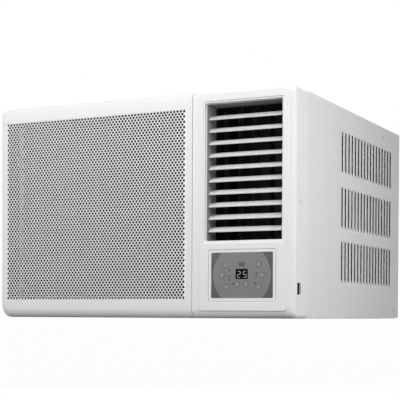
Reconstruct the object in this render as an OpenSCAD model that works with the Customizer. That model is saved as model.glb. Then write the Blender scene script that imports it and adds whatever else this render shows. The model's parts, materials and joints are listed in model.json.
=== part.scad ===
// Window air conditioner: moulded front with a perforated intake door and a
// louvred side outlet, and a steel cabinet over the fans, coils and compressor.
// Shapes are drawn from the front, left, bottom corner of the unit, and
// from_corner() then puts the origin at the middle of the underside.

/* [Body] */
// Overall width
body_w = 660; // [655:1:680]
// Overall height
body_h = 432; // [430:1:450]
// Overall depth, from the front face to the cabinet's rear edge
body_d = 668; // [665:1:700]
// Depth of the moulded front
front_d = 66; // [64:1:70]
// Wall of the plastic mouldings
wall = 3; // [2.5:0.5:3]
// Thickness of the cabinet's sheet steel
sheet = 1.2; // [1:0.1:1.5]

/* [Intake door] */
// Width of the intake door
door_w = 448; // [446:1:450]
// Thickness of the door
door_t = 24; // [24:0.5:25]
// Radius of the rounded hinge rail along the door's top
rail_r = 12; // [11.5:0.5:12]
// Width of one perforation's pitch
perf_pitch_x = 21.6; // [20:0.2:24]
// Height of one row of perforations
perf_pitch_z = 15.45; // [15:0.05:18]
// Diameter of one perforation
perf_dia = 12; // [8:0.5:13]

/* [Air outlet] */
// Width of the outlet
outlet_w = 156; // [150:1:158]
// Height of the outlet
outlet_h = 259.4; // [256:0.2:264]
// Distance between louvre pivots
louvre_pitch = 23.75; // [23:0.05:24]
// Depth of one louvre blade
louvre_chord = 22; // [18:0.5:22.5]
// Angle of the blades below level at rest
louvre_tilt = 26; // [15:1:28]

/* [Controls] */
// Width of the grey control plate
plate_w = 126.6; // [120:0.2:130]
// Height of the grey control plate
plate_h = 85.6; // [80:0.2:88]
// Radius of a push button
button_r = 4.2; // [3:0.1:4.5]

/* [Cabinet louvres] */
// Number of louvres in one row
side_louvres = 17; // [8:1:17]
// Distance between the louvres
side_pitch = 20.6; // [18:0.2:21]
// Height of one louvre
side_louvre_h = 92; // [80:1:94]

/* [Hidden] */
LOUVRES = 10;
VANES = 5;
BUTTONS = 8;

$fn = 48;
EPS = 0.01;
RUN = 0.05;                        // radial clearance of a running fit

edge_r = 12;                       // rounding of the front edges, top and right, and its depth
chin_h = 18;                       // height of the longer rounding along the bottom
left_in = 7;                       // smaller rounding of the left edge
face_y = 1.5;                      // face of the front frame; bezel and door stand proud of it
door_gap = 0.6;

// Outlet and controls share one centre line
outlet_x = body_w - 105.85;
outlet_z0 = 147.6;
outlet_z1 = outlet_z0 + outlet_h;
outlet_x0 = outlet_x - outlet_w / 2;
outlet_x1 = outlet_x + outlet_w / 2;
lip_y = 8;                         // depth of the bezel's white lip
duct_y = 48;                       // where the outlet frame meets the scroll casing
louvre_y = 20;                     // pivot line of the louvres
louvre_t = 2.6;
link_arm = 8;
pin_r = 1.5;
link_pin_r = 1;
vane_y = 66;
vane_chord = 28;
vane_arm = 10;
vane_pitch = outlet_w / VANES;

plate_x = outlet_x - 0.9;
plate_z = 81.25;

hinge_y = rail_r;
hinge_z = body_h - rail_r;
ear_x = [60, 224, 388];
catch_x = [100, 348];
ear_t = 10;

// Rotor: one axis for blower and condenser fan
axis_x = 235;
axis_z = 222;
shaft_r = 6;
blower_r = 112;
fan_r = 188;

cab_in = 3.5;                      // cabinet sides stand inside the front by this much
cab_top = body_h - 1.5;
cab_y = front_d + 0.3;
rear_y = body_d;

coil_x0 = 30;
evap_y0 = 46;
evap_d = 40;
evap_w = 396;
cond_y0 = 580;
cond_d = 42;
cond_w = 600;

comp_x = 545;
comp_y = 345;
comp_r = 60;
suction_x = 440.5;
suction_z = 34.5;
capillary_x = 455;
capillary_z = 52;
side_pipe_x = body_w - 16.7;

pan_t = 1.5;                       // sheet of the base pan, and the height of its floor
pan_x0 = cab_in + sheet + 0.2;
pan_y1 = 648;
tray_z = 3.2;
tray_floor = 9;

white = "#e9eaeb";
steel_white = "#d3d4d5";
dark_grey = "#4b4c4e";

// Place of each button from the middle of the plate
button_at = [[-40.9, 0], [41.2, 0], [-34, 20], [34.7, 20],
             [-9.5, -17], [8.5, -17], [34.1, -21.7], [-31.9, -21.7]];

function louvre_z(i) = outlet_z0 + 22.3 + (LOUVRES - i) * louvre_pitch;
function vane_x(i) = outlet_x0 + (i - 0.5) * vane_pitch;

module from_corner() translate([-body_w / 2, -body_d / 2, 0]) children();

// Box between two corners
module box(a, b) translate(a) cube(b - a);

// Round bar along X, Y or Z, starting at p
module bar_x(p, r, len) translate(p) rotate([0, 90, 0]) cylinder(r = r, h = len);
module bar_y(p, r, len) translate(p) rotate([-90, 0, 0]) cylinder(r = r, h = len);
module bar_z(p, r, len) translate(p) cylinder(r = r, h = len);

// Turns a drawing made in X and Z into a plate from y to y + t
module upright(y, t) translate([0, y + t, 0]) rotate([90, 0, 0]) linear_extrude(t) children();

// Points of a rectangle with a radius for each corner, from the lower right one round
function corner(x, z, r, a) = [for (i = [0 : 4]) [x + r * cos(a + 22.5 * i), z + r * sin(a + 22.5 * i)]];
function outline(x0, z0, x1, z1, r) = concat(
    corner(x1 - r[0], z0 + r[0], r[0], -90), corner(x1 - r[1], z1 - r[1], r[1], 0),
    corner(x0 + r[2], z1 - r[2], r[2], 90), corner(x0 + r[3], z0 + r[3], r[3], 180));

// Block whose front edges are rounded; sides = insets of left, right, bottom, top
module rounded_front(x0, z0, x1, z1, y0, y1, r, sides, round_top_back = 0) {
    hull() {
        for (a = [0 : 18 : 90]) {
            k = 1 - sin(a);
            upright(y0 + edge_r * (1 - cos(a)), EPS)
                polygon(outline(x0 + sides[0] * k, z0 + sides[2] * k,
                    x1 - sides[1] * k, z1 - sides[3] * k, r));
        }
        for (a = [0 : 18 : 90]) if (round_top_back > 0)
            upright(y1 - EPS - round_top_back * (1 - sin(a)), EPS)
                polygon(outline(x0, z0, x1, z1 - round_top_back * (1 - cos(a)), r));
        if (round_top_back == 0) upright(y1 - EPS, EPS) polygon(outline(x0, z0, x1, z1, r));
    }
}

// ---------------------------------------------------------------- front

outer_r = [8, 8, 10, 20];
inner_r = [5, 5, 7, 17];

module front_frame() color(white) from_corner() {
    difference() {
        rounded_front(0, 0, body_w, body_h, face_y, front_d, outer_r, [left_in, edge_r, chin_h, edge_r]);
        difference() {
            rounded_front(wall, wall, body_w - wall, body_h - wall, face_y + wall, front_d + 1,
                inner_r, [left_in, edge_r, edge_r, edge_r]);
            // flange behind the door, and the wall beside it
            box([0, door_t + door_gap, 0], [door_w + 3.9, door_t + door_gap + wall, body_h]);
            box([door_w + 0.9, 0, 0], [door_w + 3.9, front_d + 2, body_h]);
            // ledges and guides that carry the filter
            box([0, 27, 21.7], [door_w + 2, 42, 24.7]);
            box([0, 27, 407.3], [door_w + 2, 42, 410.3]);
            box([0, 39.2, 0], [door_w + 2, 41.2, 36]);
            box([0, 39.2, 396], [door_w + 2, 41.2, body_h - 12]);
            // posts of the display board
            for (sx = [-1, 1], sz = [-1, 1])
                bar_y([plate_x + sx * 55, 0, plate_z + sz * 36], 3, 14.5);
            // boss round the side screw
            box([body_w - 8, 22, 207], [body_w, 38, 223]);
            box([0, 44, 22], [6, 60, 38]);
        }
        // room for the door and its rail
        box([-1, -1, -1], [door_w + 0.6, door_t + door_gap, hinge_z]);
        box([-1, -1, hinge_z - 1], [door_w + 0.6, hinge_y, body_h + 1]);
        box([-1, 0, hinge_z + 10.4], [door_w + 0.6, hinge_y + 6, body_h + 1]);
        bar_x([-1, hinge_y, hinge_z], rail_r + 0.4, door_w + 1.6);
        // intake, outlet, and the filter's way out on the left
        box([22, 20, 28], [door_w - 16, 30, 404]);
        box([outlet_x0 - 1.8, -1, outlet_z0 - 1.8], [outlet_x1 + 1.8, 8, outlet_z1 + 1.8]);
        box([-1, 31, 24.7], [8, 39.2, 407.3]);
        // display, infrared window and buttons
        box([plate_x - 12.7, 0, plate_z - 7.3], [plate_x + 12.7, 8, plate_z + 12]);
        box([plate_x - 6.2, 0, plate_z + 16.8], [plate_x + 6.2, 8, plate_z + 25.2]);
        for (p = button_at) bar_y([plate_x + p[0], 0, plate_z + p[1]], button_r + 0.3, 8);
        for (sx = [-1, 1], sz = [-1, 1])
            bar_y([plate_x + sx * 55, 7, plate_z + sz * 36], 1.25, 9);
        // side screw, side slot and cord gland
        bar_x([body_w - 5, 30, 215], 6.5, 6);
        bar_x([body_w - 9, 30, 215], 2.25, 6);
        box([body_w - 5, 20.8, 47.2], [body_w + 1, 25.2, 63.8]);
        bar_x([body_w - 5, 23, 47.2], 2.2, 6);
        bar_x([body_w - 5, 23, 63.8], 2.2, 6);
        bar_x([-1, 52, 30], 6, 9);
        // countersunk screws into the cabinet's left tabs
        for (z = left_tabs) {
            bar_x([-1, 58, z], 2.25, 8);
            bar_x([-1, 58, z], 4.4, 2.6);
        }
        // catches of the door
        for (x = catch_x) box([x - 6.5, 22, 15], [x + 6.5, 30, 26]);
    }
    // ears with the stub pins that carry the door
    for (x = ear_x) {
        box([x - ear_t / 2, hinge_y, hinge_z - 3.2],
            [x + ear_t / 2, door_t + door_gap + EPS, hinge_z + 3.2]);
        bar_x([x - ear_t / 2, hinge_y, hinge_z], 3.2, ear_t);
        bar_x([x - ear_t / 2 - 6, hinge_y, hinge_z], 2.5, 6 + EPS);
        bar_x([x + ear_t / 2 - EPS, hinge_y, hinge_z], 2.5, 6 + EPS);
    }
}

screw_head_r = 4;

// Pan head screw along X, with its head's face at p, pointing to dir
module screw_x(p, dir, len) translate(p) rotate([0, dir * 90, 0]) {
    difference() {
        cylinder(r = screw_head_r, h = 1.6);
        translate([0, 0, -1]) cylinder(r = 1.2, h = 1.8, $fn = 6);
    }
    cylinder(r = 1.85, h = len);
}

module screws() color("#c4c6c8") from_corner() {
    for (at = cabinet_screws) {
        screw_x([cab_in - 1.6, at[0], at[1]], 1, 6);
        screw_x([body_w - cab_in + 1.6, at[0], at[1]], -1, 6);
    }
    for (z = left_tabs) screw_x([0, 58, z], 1, 6);
    screw_x([body_w - 3.4, 30, 215], -1, 8);
    // screws of the display board
    for (sx = [-1, 1], sz = [-1, 1])
        translate([plate_x + sx * 55, 16.2, plate_z + sz * 36]) {
            bar_y([0, 0, 0], 2.6, 1.6);
            bar_y([0, -6, 0], 1.2, 7);
        }
    // bolts through the compressor's grommets
    for (a = [30, 150, 270]) translate([comp_x, comp_y, 0]) rotate([0, 0, a]) {
        bar_z([82, 0, 1.6], 3.9, 30);
        bar_z([82, 0, 30.4], 7, 4);
    }
}

module outlet_bezel() color(white) from_corner() difference() {
    union() {
        upright(0, face_y) polygon(outline(body_w - 195.7, 14, body_w - 16.2, 426.5, [6, 6, 6, 6]));
        box([outlet_x0 - 1.6, 0, outlet_z0 - 1.6], [outlet_x1 + 1.6, lip_y, outlet_z1 + 1.6]);
    }
    box([outlet_x0, -1, outlet_z0], [outlet_x1, lip_y + 1, outlet_z1]);
    upright(-1, 4) polygon(outline(plate_x - 70, 31, plate_x + 70, 130, [5, 5, 5, 5]));
}

module outlet_frame() color(dark_grey) from_corner() difference() {
    union() {
        box([outlet_x0 - wall, lip_y + 0.2, outlet_z0 - wall],
            [outlet_x1 + wall, duct_y, outlet_z1 + wall]);
        box([outlet_x0 - 7, duct_y - 3, outlet_z0 - 7], [outlet_x1 + 7, duct_y, outlet_z1 + 7]);
    }
    box([outlet_x0, 0, outlet_z0], [outlet_x1, duct_y + 1, outlet_z1]);
    for (i = [1 : LOUVRES]) bar_x([outlet_x0 - 10, louvre_y, louvre_z(i)], pin_r + RUN, outlet_w + 20);
}

// ---------------------------------------------------------------- intake door

module intake_door() color(white) from_corner() {
    door_shell();
    for (x = catch_x) {
        box([x - 5, 2.4, 17], [x + 5, door_t, 20]);
        box([x - 5, door_t - EPS, 17], [x + 5, door_t + 5, 20]);
    }
}

module door_shell() difference() {
    rounded_front(0, 0, door_w, body_h, 0, door_t, [0.5, 0.5, 10, 20],
        [left_in, 0.5, chin_h, rail_r], rail_r);
    // hollow back, below the rail
    difference() {
        rounded_front(2.5, 2.5, door_w - 2.5, body_h, 2.5, door_t + 1, [0.5, 0.5, 8, 17],
            [left_in, 0.5, chin_h, rail_r]);
        box([-1, -1, hinge_z - rail_r - 4], [door_w + 1, door_t + 2, body_h + 1]);
    }
    // hollow rail, with a bearing wall on each side of each ear
    for (k = [0 : 3]) {
        x0 = k == 0 ? 10 : ear_x[k - 1] + ear_t / 2 + 10;
        x1 = k == 3 ? door_w - 10 : ear_x[k] - ear_t / 2 - 10;
        bar_x([x0, hinge_y, hinge_z], rail_r - 2.5, x1 - x0);
    }
    // notches in which the ears turn, and bores for their stub pins
    for (x = ear_x) {
        box([x - ear_t / 2 - 1, hinge_y - 4, hinge_z - 4], [x + ear_t / 2 + 1, door_t + 1, body_h + 1]);
        bar_x([x - ear_t / 2 - 7.5, hinge_y, hinge_z], 2.5 + RUN, ear_t + 15);
    }
    // seat and window of the perforated sheet
    box([10, 1.2, 32], [door_w - 8, 2.6, 403.6]);
    box([14, -1, 36], [door_w - 12, 3, 401]);
}

perf_cols = 18;
perf_rows = 22;

// Sheet with a flange behind the door and a field level with the door's face
module perforated_sheet() color("#f2f2f2") from_corner() difference() {
    union() {
        box([10.2, 1.2, 32.2], [door_w - 8.2, 2.4, 403.4]);
        box([14.2, 0.2, 36.2], [door_w - 12.2, 1.3, 400.8]);
    }
    for (j = [0 : perf_rows], i = [0 : perf_cols - j % 2])
        bar_y([25.4 + (i + (j % 2) / 2) * perf_pitch_x, -1, 48 + j * perf_pitch_z], perf_dia / 2, 5);
}

// ---------------------------------------------------------------- filter

filter_y = 32;
filter_z0 = 25.2;
filter_z1 = 406.8;
filter_x1 = door_w - 8;

module filter_frame() color("#5f6a72") from_corner() {
    difference() {
        box([1, filter_y, filter_z0], [filter_x1, filter_y + 6, filter_z1]);
        for (i = [0 : 3], j = [0 : 3]) {
            px = (filter_x1 - 18) / 4;
            pz = (filter_z1 - filter_z0 - 8) / 4;
            box([14 + i * px, filter_y - 1, filter_z0 + 6 + j * pz],
                [10 + (i + 1) * px, filter_y + 7, filter_z0 + 2 + (j + 1) * pz]);
        }
    }
    // pull tab in the slot on the left
    box([0.2, filter_y + 0.5, 190], [1, filter_y + 5.5, 240]);
}

module filter_mesh() color("#8d949a") from_corner() {
    for (i = [0 : 3], j = [0 : 3]) {
        px = (filter_x1 - 18) / 4;
        pz = (filter_z1 - filter_z0 - 8) / 4;
        box([14 + i * px, filter_y + 2.5, filter_z0 + 6 + j * pz],
            [10 + (i + 1) * px, filter_y + 3.3, filter_z0 + 2 + (j + 1) * pz]);
    }
}

// ---------------------------------------------------------------- coils

tube_r = 4.8;
tube_pitch = 25.4;
row_pitch = 20;

// Finned block with upright fins standing out of both faces
module fin_block(x0, y0, z0, w, d, h, fins, tubes, fin_t) {
    pitch = w / fins;
    fin_d = 4.8;
    difference() {
        union() {
            box([x0, y0 + fin_d, z0], [x0 + w, y0 + d - fin_d, z0 + h]);
            for (i = [0 : fins - 1])
                box([x0 + (i + 0.5) * pitch - fin_t / 2, y0, z0],
                    [x0 + (i + 0.5) * pitch + fin_t / 2, y0 + d, z0 + h]);
        }
        for (k = [0 : tubes - 1], r = [-1, 1])
            bar_x([x0 - 1, y0 + d / 2 + r * row_pitch / 2, z0 + (k + 0.5) * tube_pitch], tube_r, w + 2);
    }
}

// Tubes of a coil: hairpins that turn from row to row at the left end, and at
// the right end return bends from tube to tube, each a piece of its own
module coil_tubes(x0, y0, z0, w, d, tubes) {
    for (k = [0 : tubes - 1], r = [-1, 1])
        bar_x([x0 - 4, y0 + d / 2 + r * row_pitch / 2, z0 + (k + 0.5) * tube_pitch], tube_r, w + 8);
    for (k = [0 : tubes - 1])
        translate([x0 - 4, y0 + d / 2, z0 + (k + 0.5) * tube_pitch]) rotate([0, 0, 90])
            rotate_extrude(angle = 180) translate([row_pitch / 2, 0]) circle(r = tube_r);
    for (k = [0 : tubes - 2])
        translate([x0 + w + 4.05, y0 + d / 2 + (k % 2 == 0 ? 1 : -1) * row_pitch / 2,
            z0 + (k + 1) * tube_pitch])
            rotate([90, 0, 0]) rotate([0, 0, -90])
                rotate_extrude(angle = 180) translate([tube_pitch / 2, 0]) circle(r = tube_r);
}

// Pair of end plates standing on foot_z
module end_plates(x0, y0, z0, w, d, h, tubes, foot_z) {
    t = 1.2;
    for (x = [x0 - 0.3 - t, x0 + w + 0.3]) difference() {
        box([x, y0 - 2, foot_z], [x + t, y0 + d + 2, z0 + h + 4]);
        for (k = [0 : tubes - 1], r = [-1, 1])
            bar_x([x - 1, y0 + d / 2 + r * row_pitch / 2, z0 + (k + 0.5) * tube_pitch], tube_r, t + 2);
    }
}

evap_tubes = 14;
evap_z0 = 42;
cond_tubes = 15;
cond_z0 = 18;

module evaporator_fins() color("#b9c7cf") from_corner()
    fin_block(coil_x0, evap_y0, evap_z0, evap_w, evap_d, evap_tubes * tube_pitch, 66, evap_tubes, 1.2);

module evaporator_tubes() color("#b87348") from_corner()
    coil_tubes(coil_x0, evap_y0, evap_z0, evap_w, evap_d, evap_tubes);

module condenser_fins() color("#9aa6ad") from_corner()
    fin_block(coil_x0, cond_y0, cond_z0, cond_w, cond_d, cond_tubes * tube_pitch, 100, cond_tubes, 1.2);

module condenser_tubes() color("#b87348") from_corner()
    coil_tubes(coil_x0, cond_y0, cond_z0, cond_w, cond_d, cond_tubes);

module coil_end_plates() color("silver") from_corner() {
    end_plates(coil_x0, evap_y0, evap_z0, evap_w, evap_d, evap_tubes * tube_pitch, evap_tubes, tray_floor);
    end_plates(coil_x0, cond_y0, cond_z0, cond_w, cond_d, cond_tubes * tube_pitch, cond_tubes, pan_t);
}

module drain_tray() color("#e4e4e0") from_corner() {
    difference() {
        box([20, 42.2, tray_z], [432, 94, 37]);
        box([24, 43.9, tray_floor], [428, 90, 38]);
    }
    for (x = [40, 400]) box([x, 76, pan_t], [x + 20, 90, tray_z + 1]);
}

// ---------------------------------------------------------------- air path

scroll_y0 = 98;
scroll_y1 = 192;
bell_r = 98;                       // inlet of the blower
butt = 0.05;                       // gap where two mouldings butt together

// Spiral of the casing: from its tongue at the right, under and round to the top,
// then straight on into the outlet duct
function scroll_r(a) = 124 + 50 * a / 270;
function scroll_points(out) = concat(
    [[axis_x + scroll_r(0) + out, axis_z - out]],
    [for (a = [9 : 9 : 270])
        [axis_x + (scroll_r(a) + out) * cos(a), axis_z - (scroll_r(a) + out) * sin(a)]],
    [[outlet_x0 + 20, axis_z + scroll_r(270) + out], [outlet_x0 + 20, axis_z - out]]);

// Cover with the bell mouth, spiral wall, back plate and outlet duct, which butt together
module scroll_casing() color("#2e2f31") from_corner() {
    y0 = scroll_y0 + wall;
    y1 = scroll_y1 - wall;
    beside_duct = outlet_x0 - wall - butt;
    difference() {
        upright(scroll_y0, wall) polygon(scroll_points(wall));
        box([beside_duct, 0, 0], [body_w, body_d, body_h]);
        bar_y([axis_x, scroll_y0 - 1, axis_z], bell_r, 6);
    }
    difference() {
        upright(y0 + butt, y1 - y0 - 2 * butt) polygon(scroll_points(wall));
        upright(y0, y1 - y0) polygon(scroll_points(0));
        box([beside_duct, 0, 0], [body_w, body_d, body_h]);
    }
    difference() {
        upright(y1, wall) polygon(scroll_points(wall));
        box([beside_duct, 0, 0], [body_w, body_d, body_h]);
        bar_y([axis_x, y1 - 1, axis_z], 20, 8);
    }
    difference() {
        box([outlet_x0 - wall, duct_y + 0.3, outlet_z0 - wall],
            [outlet_x1 + wall, scroll_y1, outlet_z1 + wall]);
        box([outlet_x0, duct_y - 1, outlet_z0], [outlet_x1, y1, outlet_z1]);
        upright(y0, y1 - y0) polygon(scroll_points(0));
        for (i = [1 : VANES]) bar_z([vane_x(i), vane_y, outlet_z0 - 5], pin_r + RUN, outlet_h + 10);
    }
}

module blower_wheel() color("#3a3b3d") from_corner() {
    translate([axis_x, 0, axis_z]) {
        difference() {
            union() {
                bar_y([0, 181, 0], blower_r, 3);
                bar_y([0, 150, 0], 16, 34);
            }
            bar_y([0, 140, 0], shaft_r, 50);
        }
        difference() {
            bar_y([0, 106, 0], blower_r, 4);
            bar_y([0, 105, 0], 92, 6);
        }
        for (i = [0 : 35]) rotate([0, i * 10, 0])
            translate([102, 109, 0]) rotate([0, 35, 0]) box([-9, 0, -0.8], [9, 73, 0.8]);
    }
}

module bulkhead() color("#b4b6b8") from_corner() {
    back = scroll_y1 + sheet;
    difference() {
        box([6.6, scroll_y1, pan_t], [body_w - 6.6, back, 426]);
        bar_y([axis_x, 190, axis_z], 26, 10);
        bar_y([suction_x, 190, suction_z], 12, 10);
        bar_y([capillary_x, 190, capillary_z], 6, 10);
    }
    // motor bracket, spot welded to the bulkhead: four legs and a plate
    for (sx = [-1, 1], sz = [-1, 1])
        box([axis_x + sx * 72 - 6, back + butt, axis_z + sz * 50 - 6],
            [axis_x + sx * 72 + 6, 222, axis_z + sz * 50 + 6]);
    difference() {
        box([axis_x - 86, 222 - EPS, axis_z - 64], [axis_x + 86, 224, axis_z + 64]);
        bar_y([axis_x, 210, axis_z], 26, 30);
    }
}

module fan_motor() color("#8f9194") from_corner() difference() {
    union() {
        bar_y([axis_x, 240, axis_z], 66, 80);
        bar_y([axis_x, 224, axis_z], 58, 112.3);
        bar_y([axis_x, 336, axis_z], 20, 14);
        box([axis_x - 20, 250, axis_z + 60], [axis_x + 20, 300, axis_z + 74]);
    }
    bar_y([axis_x, 220, axis_z], shaft_r + RUN, 140);
}

module fan_shaft() color("#c9cbcd") from_corner()
    bar_y([axis_x, 148, axis_z], shaft_r, 400);

module condenser_fan() color("#2f3133") from_corner() translate([axis_x, 0, axis_z]) {
    difference() {
        union() {
            bar_y([0, 492, 0], 46, 44);
            // pitched blades, trimmed to the ring
            intersection() {
                for (i = [0 : 4]) rotate([0, i * 72, 0])
                    translate([110, 514, 0]) rotate([28, 0, 0]) box([-70, -1.5, -42], [76, 1.5, 42]);
                difference() {
                    bar_y([0, 480, 0], fan_r - 2, 70);
                    bar_y([0, 479, 0], 42, 72);
                }
            }
            // slinger ring
            difference() {
                bar_y([0, 505, 0], fan_r, 18);
                bar_y([0, 504, 0], fan_r - 3, 20);
            }
        }
        bar_y([0, 490, 0], shaft_r, 60);
        bar_y([0, 490, 0], 38, 38);
    }
    difference() {
        bar_y([0, 492, 0], 14, 40);
        bar_y([0, 490, 0], shaft_r, 60);
    }
}

shroud_x = 22;

module condenser_shroud() color("#45474a") from_corner() {
    difference() {
        union() {
            box([shroud_x, 534, pan_t], [body_w - shroud_x, 576, 418]);
            // ears for the cabinet's screws
            box([pan_x0, 538, 404], [body_w - pan_x0, 552, 418]);
            bar_y([axis_x, 500, axis_z], fan_r + 9, 36);
        }
        box([shroud_x + wall, 537, 4.5], [body_w - shroud_x - wall, 577, 415]);
        bar_y([axis_x, 499, axis_z], fan_r + 6, 40);
        for (x = [0, body_w - 12]) bar_x([x, 545, 411], 1.9, 12);
    }
}

// ---------------------------------------------------------------- refrigeration

module compressor() color("#26282a") from_corner() translate([comp_x, comp_y, 0]) {
    difference() {
        union() {
            bar_z([0, 0, 34], comp_r, 190);
            translate([0, 0, 224]) rotate_extrude() intersection() {
                circle(r = comp_r);
                square([comp_r, 34]);
            }
            translate([0, 0, 26]) cylinder(r1 = comp_r - 14, r2 = comp_r, h = 8);
            // three-cornered foot
            for (a = [30, 150, 270]) rotate([0, 0, a]) difference() {
                union() {
                    box([0, -16, 22], [82, 16, 26]);
                    bar_z([82, 0, 22], 16, 4);
                }
                bar_z([82, 0, 20], 8, 8);
            }
            bar_z([0, 0, 22], comp_r - 14, 4);
            // terminal cover
            bar_z([0, 0, 256], 24, 26);
        }
        bar_z([0, 0, 270], 1.5, 20);
    }
}

module compressor_grommets() color("#1b1c1d") from_corner() translate([comp_x, comp_y, 0])
    for (a = [30, 150, 270]) rotate([0, 0, a]) translate([82, 0, 0]) difference() {
        union() {
            bar_z([0, 0, 6.2], 12, 15.6);
            bar_z([0, 0, 21], 7.9, 6);
            bar_z([0, 0, 26.2], 11, 4);
        }
        bar_z([0, 0, 0], 4, 40);
    }

module accumulator() color("#26282a") from_corner() translate([suction_x, comp_y, 0]) {
    bar_z([0, 0, 70], 25, 130);
    translate([0, 0, 200]) sphere(r = 25);
    translate([0, 0, 70]) sphere(r = 25);
}

// Round pipe along a route of square turns, each turn a bend of the given radius
module pipe(points, r, bend) {
    last = len(points) - 1;
    for (i = [0 : last - 1]) {
        d = (points[i + 1] - points[i]) / norm(points[i + 1] - points[i]);
        start = points[i] + d * (i == 0 ? 0 : bend);
        length = norm(points[i + 1] - points[i]) - (i == 0 ? 0 : bend) - (i == last - 1 ? 0 : bend);
        translate(start) rotate([0, acos(d[2]), atan2(d[1], d[0])]) cylinder(r = r, h = length);
        if (i > 0) {
            b = (points[i] - points[i - 1]) / norm(points[i] - points[i - 1]);
            c = points[i] + (d - b) * bend;
            z = cross(-d, b);
            multmatrix([[-d[0], b[0], z[0], c[0]], [-d[1], b[1], z[1], c[1]], [-d[2], b[2], z[2], c[2]]])
                rotate_extrude(angle = 90) translate([bend, 0]) circle(r = r);
        }
    }
}

module refrigerant_pipes() color("#b87348") from_corner() {
    evap_x = coil_x0 + evap_w + 4.2;
    evap_y = evap_y0 + evap_d / 2 - row_pitch / 2;
    evap_low = evap_z0 + tube_pitch / 2;
    evap_top = evap_z0 + (evap_tubes - 0.5) * tube_pitch;
    cond_x = coil_x0 + cond_w + 4.2;
    cond_mid = cond_y0 + cond_d / 2;
    cond_low = cond_z0 + tube_pitch / 2;
    cond_top = cond_z0 + (cond_tubes - 0.5) * tube_pitch;
    // suction: evaporator to accumulator to compressor
    pipe([[evap_x, evap_y, evap_low], [suction_x, evap_y, evap_low], [suction_x, evap_y, suction_z],
          [suction_x, 262, suction_z], [suction_x, 262, 246], [suction_x, comp_y, 246],
          [suction_x, comp_y, 225.2]], 6, 10);
    bar_x([suction_x + 25.2, comp_y, 110], 5, comp_x - comp_r - suction_x - 25.5);
    // discharge: compressor past the shroud to the condenser's top
    pipe([[comp_x + 36, comp_y, 258.2], [comp_x + 36, comp_y, 340], [comp_x + 36, 470, 340],
          [side_pipe_x, 470, 340], [side_pipe_x, 562, 340], [side_pipe_x, 562, 405],
          [side_pipe_x, cond_mid + row_pitch / 2, 405], [side_pipe_x, cond_mid + row_pitch / 2, cond_top],
          [cond_x, cond_mid + row_pitch / 2, cond_top]], 4.5, 8);
    // liquid line with the filter drier, and the capillary on to the evaporator's top
    pipe([[cond_x, cond_mid - row_pitch / 2, cond_low], [side_pipe_x, cond_mid - row_pitch / 2, cond_low],
          [side_pipe_x, 480, cond_low], [400, 480, cond_low], [400, 440.2, cond_low]], 4, 8);
    bar_y([400, 350, cond_low], 12, 90);
    pipe([[400, 349.8, cond_low], [400, 232, cond_low], [400, 232, capillary_z],
          [capillary_x, 232, capillary_z],
          [capillary_x, 80, capillary_z], [capillary_x, 80, 403], [suction_x, 80, 403],
          [suction_x, evap_y, 403], [suction_x, evap_y, evap_top], [evap_x, evap_y, evap_top]], 2.5, 5);
}

// ---------------------------------------------------------------- body

module base_pan() color("#aeb0b2") from_corner() {
    difference() {
        union() {
            difference() {
                box([pan_x0, front_d + 2, 0], [body_w - pan_x0, pan_y1, 34]);
                box([pan_x0 + pan_t, front_d + 3.5, pan_t], [body_w - pan_x0 - pan_t, pan_y1 - pan_t, 35]);
                box([pan_x0 + pan_t, front_d, tray_z - 0.2], [body_w - pan_x0 - pan_t, 110, 35]);
            }
            // seats of the compressor's grommets
            for (a = [30, 150, 270]) translate([comp_x, comp_y, 0]) rotate([0, 0, a])
                bar_z([82, 0, 1], 15, 5);
            // drain spigot at the rear
            bar_y([80, pan_y1 - 2, 12], 8, body_d - pan_y1 + 2);
            bar_y([80, pan_y1 - 2, 12], 11, 4);
        }
        bar_y([80, 640, 12], 6, 40);
        // bolts to the window bracket
        for (x = [40, body_w - 40], y = [230, 500]) bar_z([x, y, -1], 4.5, 4);
        for (a = [30, 150, 270]) translate([comp_x, comp_y, 0]) rotate([0, 0, a])
            bar_z([82, 0, -1], 4, 10);
        // side screws of the cabinet
        for (x = [0, body_w - 12]) bar_x([x, 640, 25], 1.9, 12);
    }
}

louvre_y0 = 257;
louvre_rows = [114.5, 225.4, 339.4];
cabinet_screws = [[545, 411], [640, 25]];
left_tabs = [110, 330];
press_run = 19;                    // length of one louvre along the side
press_d = 3.6;
press_foot = 12;                   // height of the slanted end at the foot, and at the head
press_head = 4;

// Space that the side louvres press into the sheet: each is level at its front, deepest
// at its open rear edge, and slants back to the sheet at top and foot
module louvre_press() {
    deep = press_d * 1.5;
    for (z = louvre_rows) intersection() {
        foot = z - side_louvre_h / 2;
        head = z + side_louvre_h / 2;
        for (i = [0 : side_louvres - 1])
            translate([0, louvre_y0 + i * side_pitch, foot - 1])
                linear_extrude(side_louvre_h + 2)
                    polygon([[1, 0], [0, 0], [-press_d, press_run], [1, press_run]]);
        translate([0, louvre_y0 + side_louvres * side_pitch + 10, 0]) rotate([90, 0, 0])
            linear_extrude(side_louvres * side_pitch + 20) polygon([
                [1, foot], [0, foot], [-deep, foot + press_foot * 1.5],
                [-deep, head - press_head * 1.5], [0, head], [1, head]]);
    }
}

// Both sides of the cabinet, drawn with X = 0 on the outer face
module on_sides() for (side = [0, 1])
    translate([side * body_w, 0, 0]) mirror([1 - side, 0, 0]) translate([-cab_in, 0, 0]) children();

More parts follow.
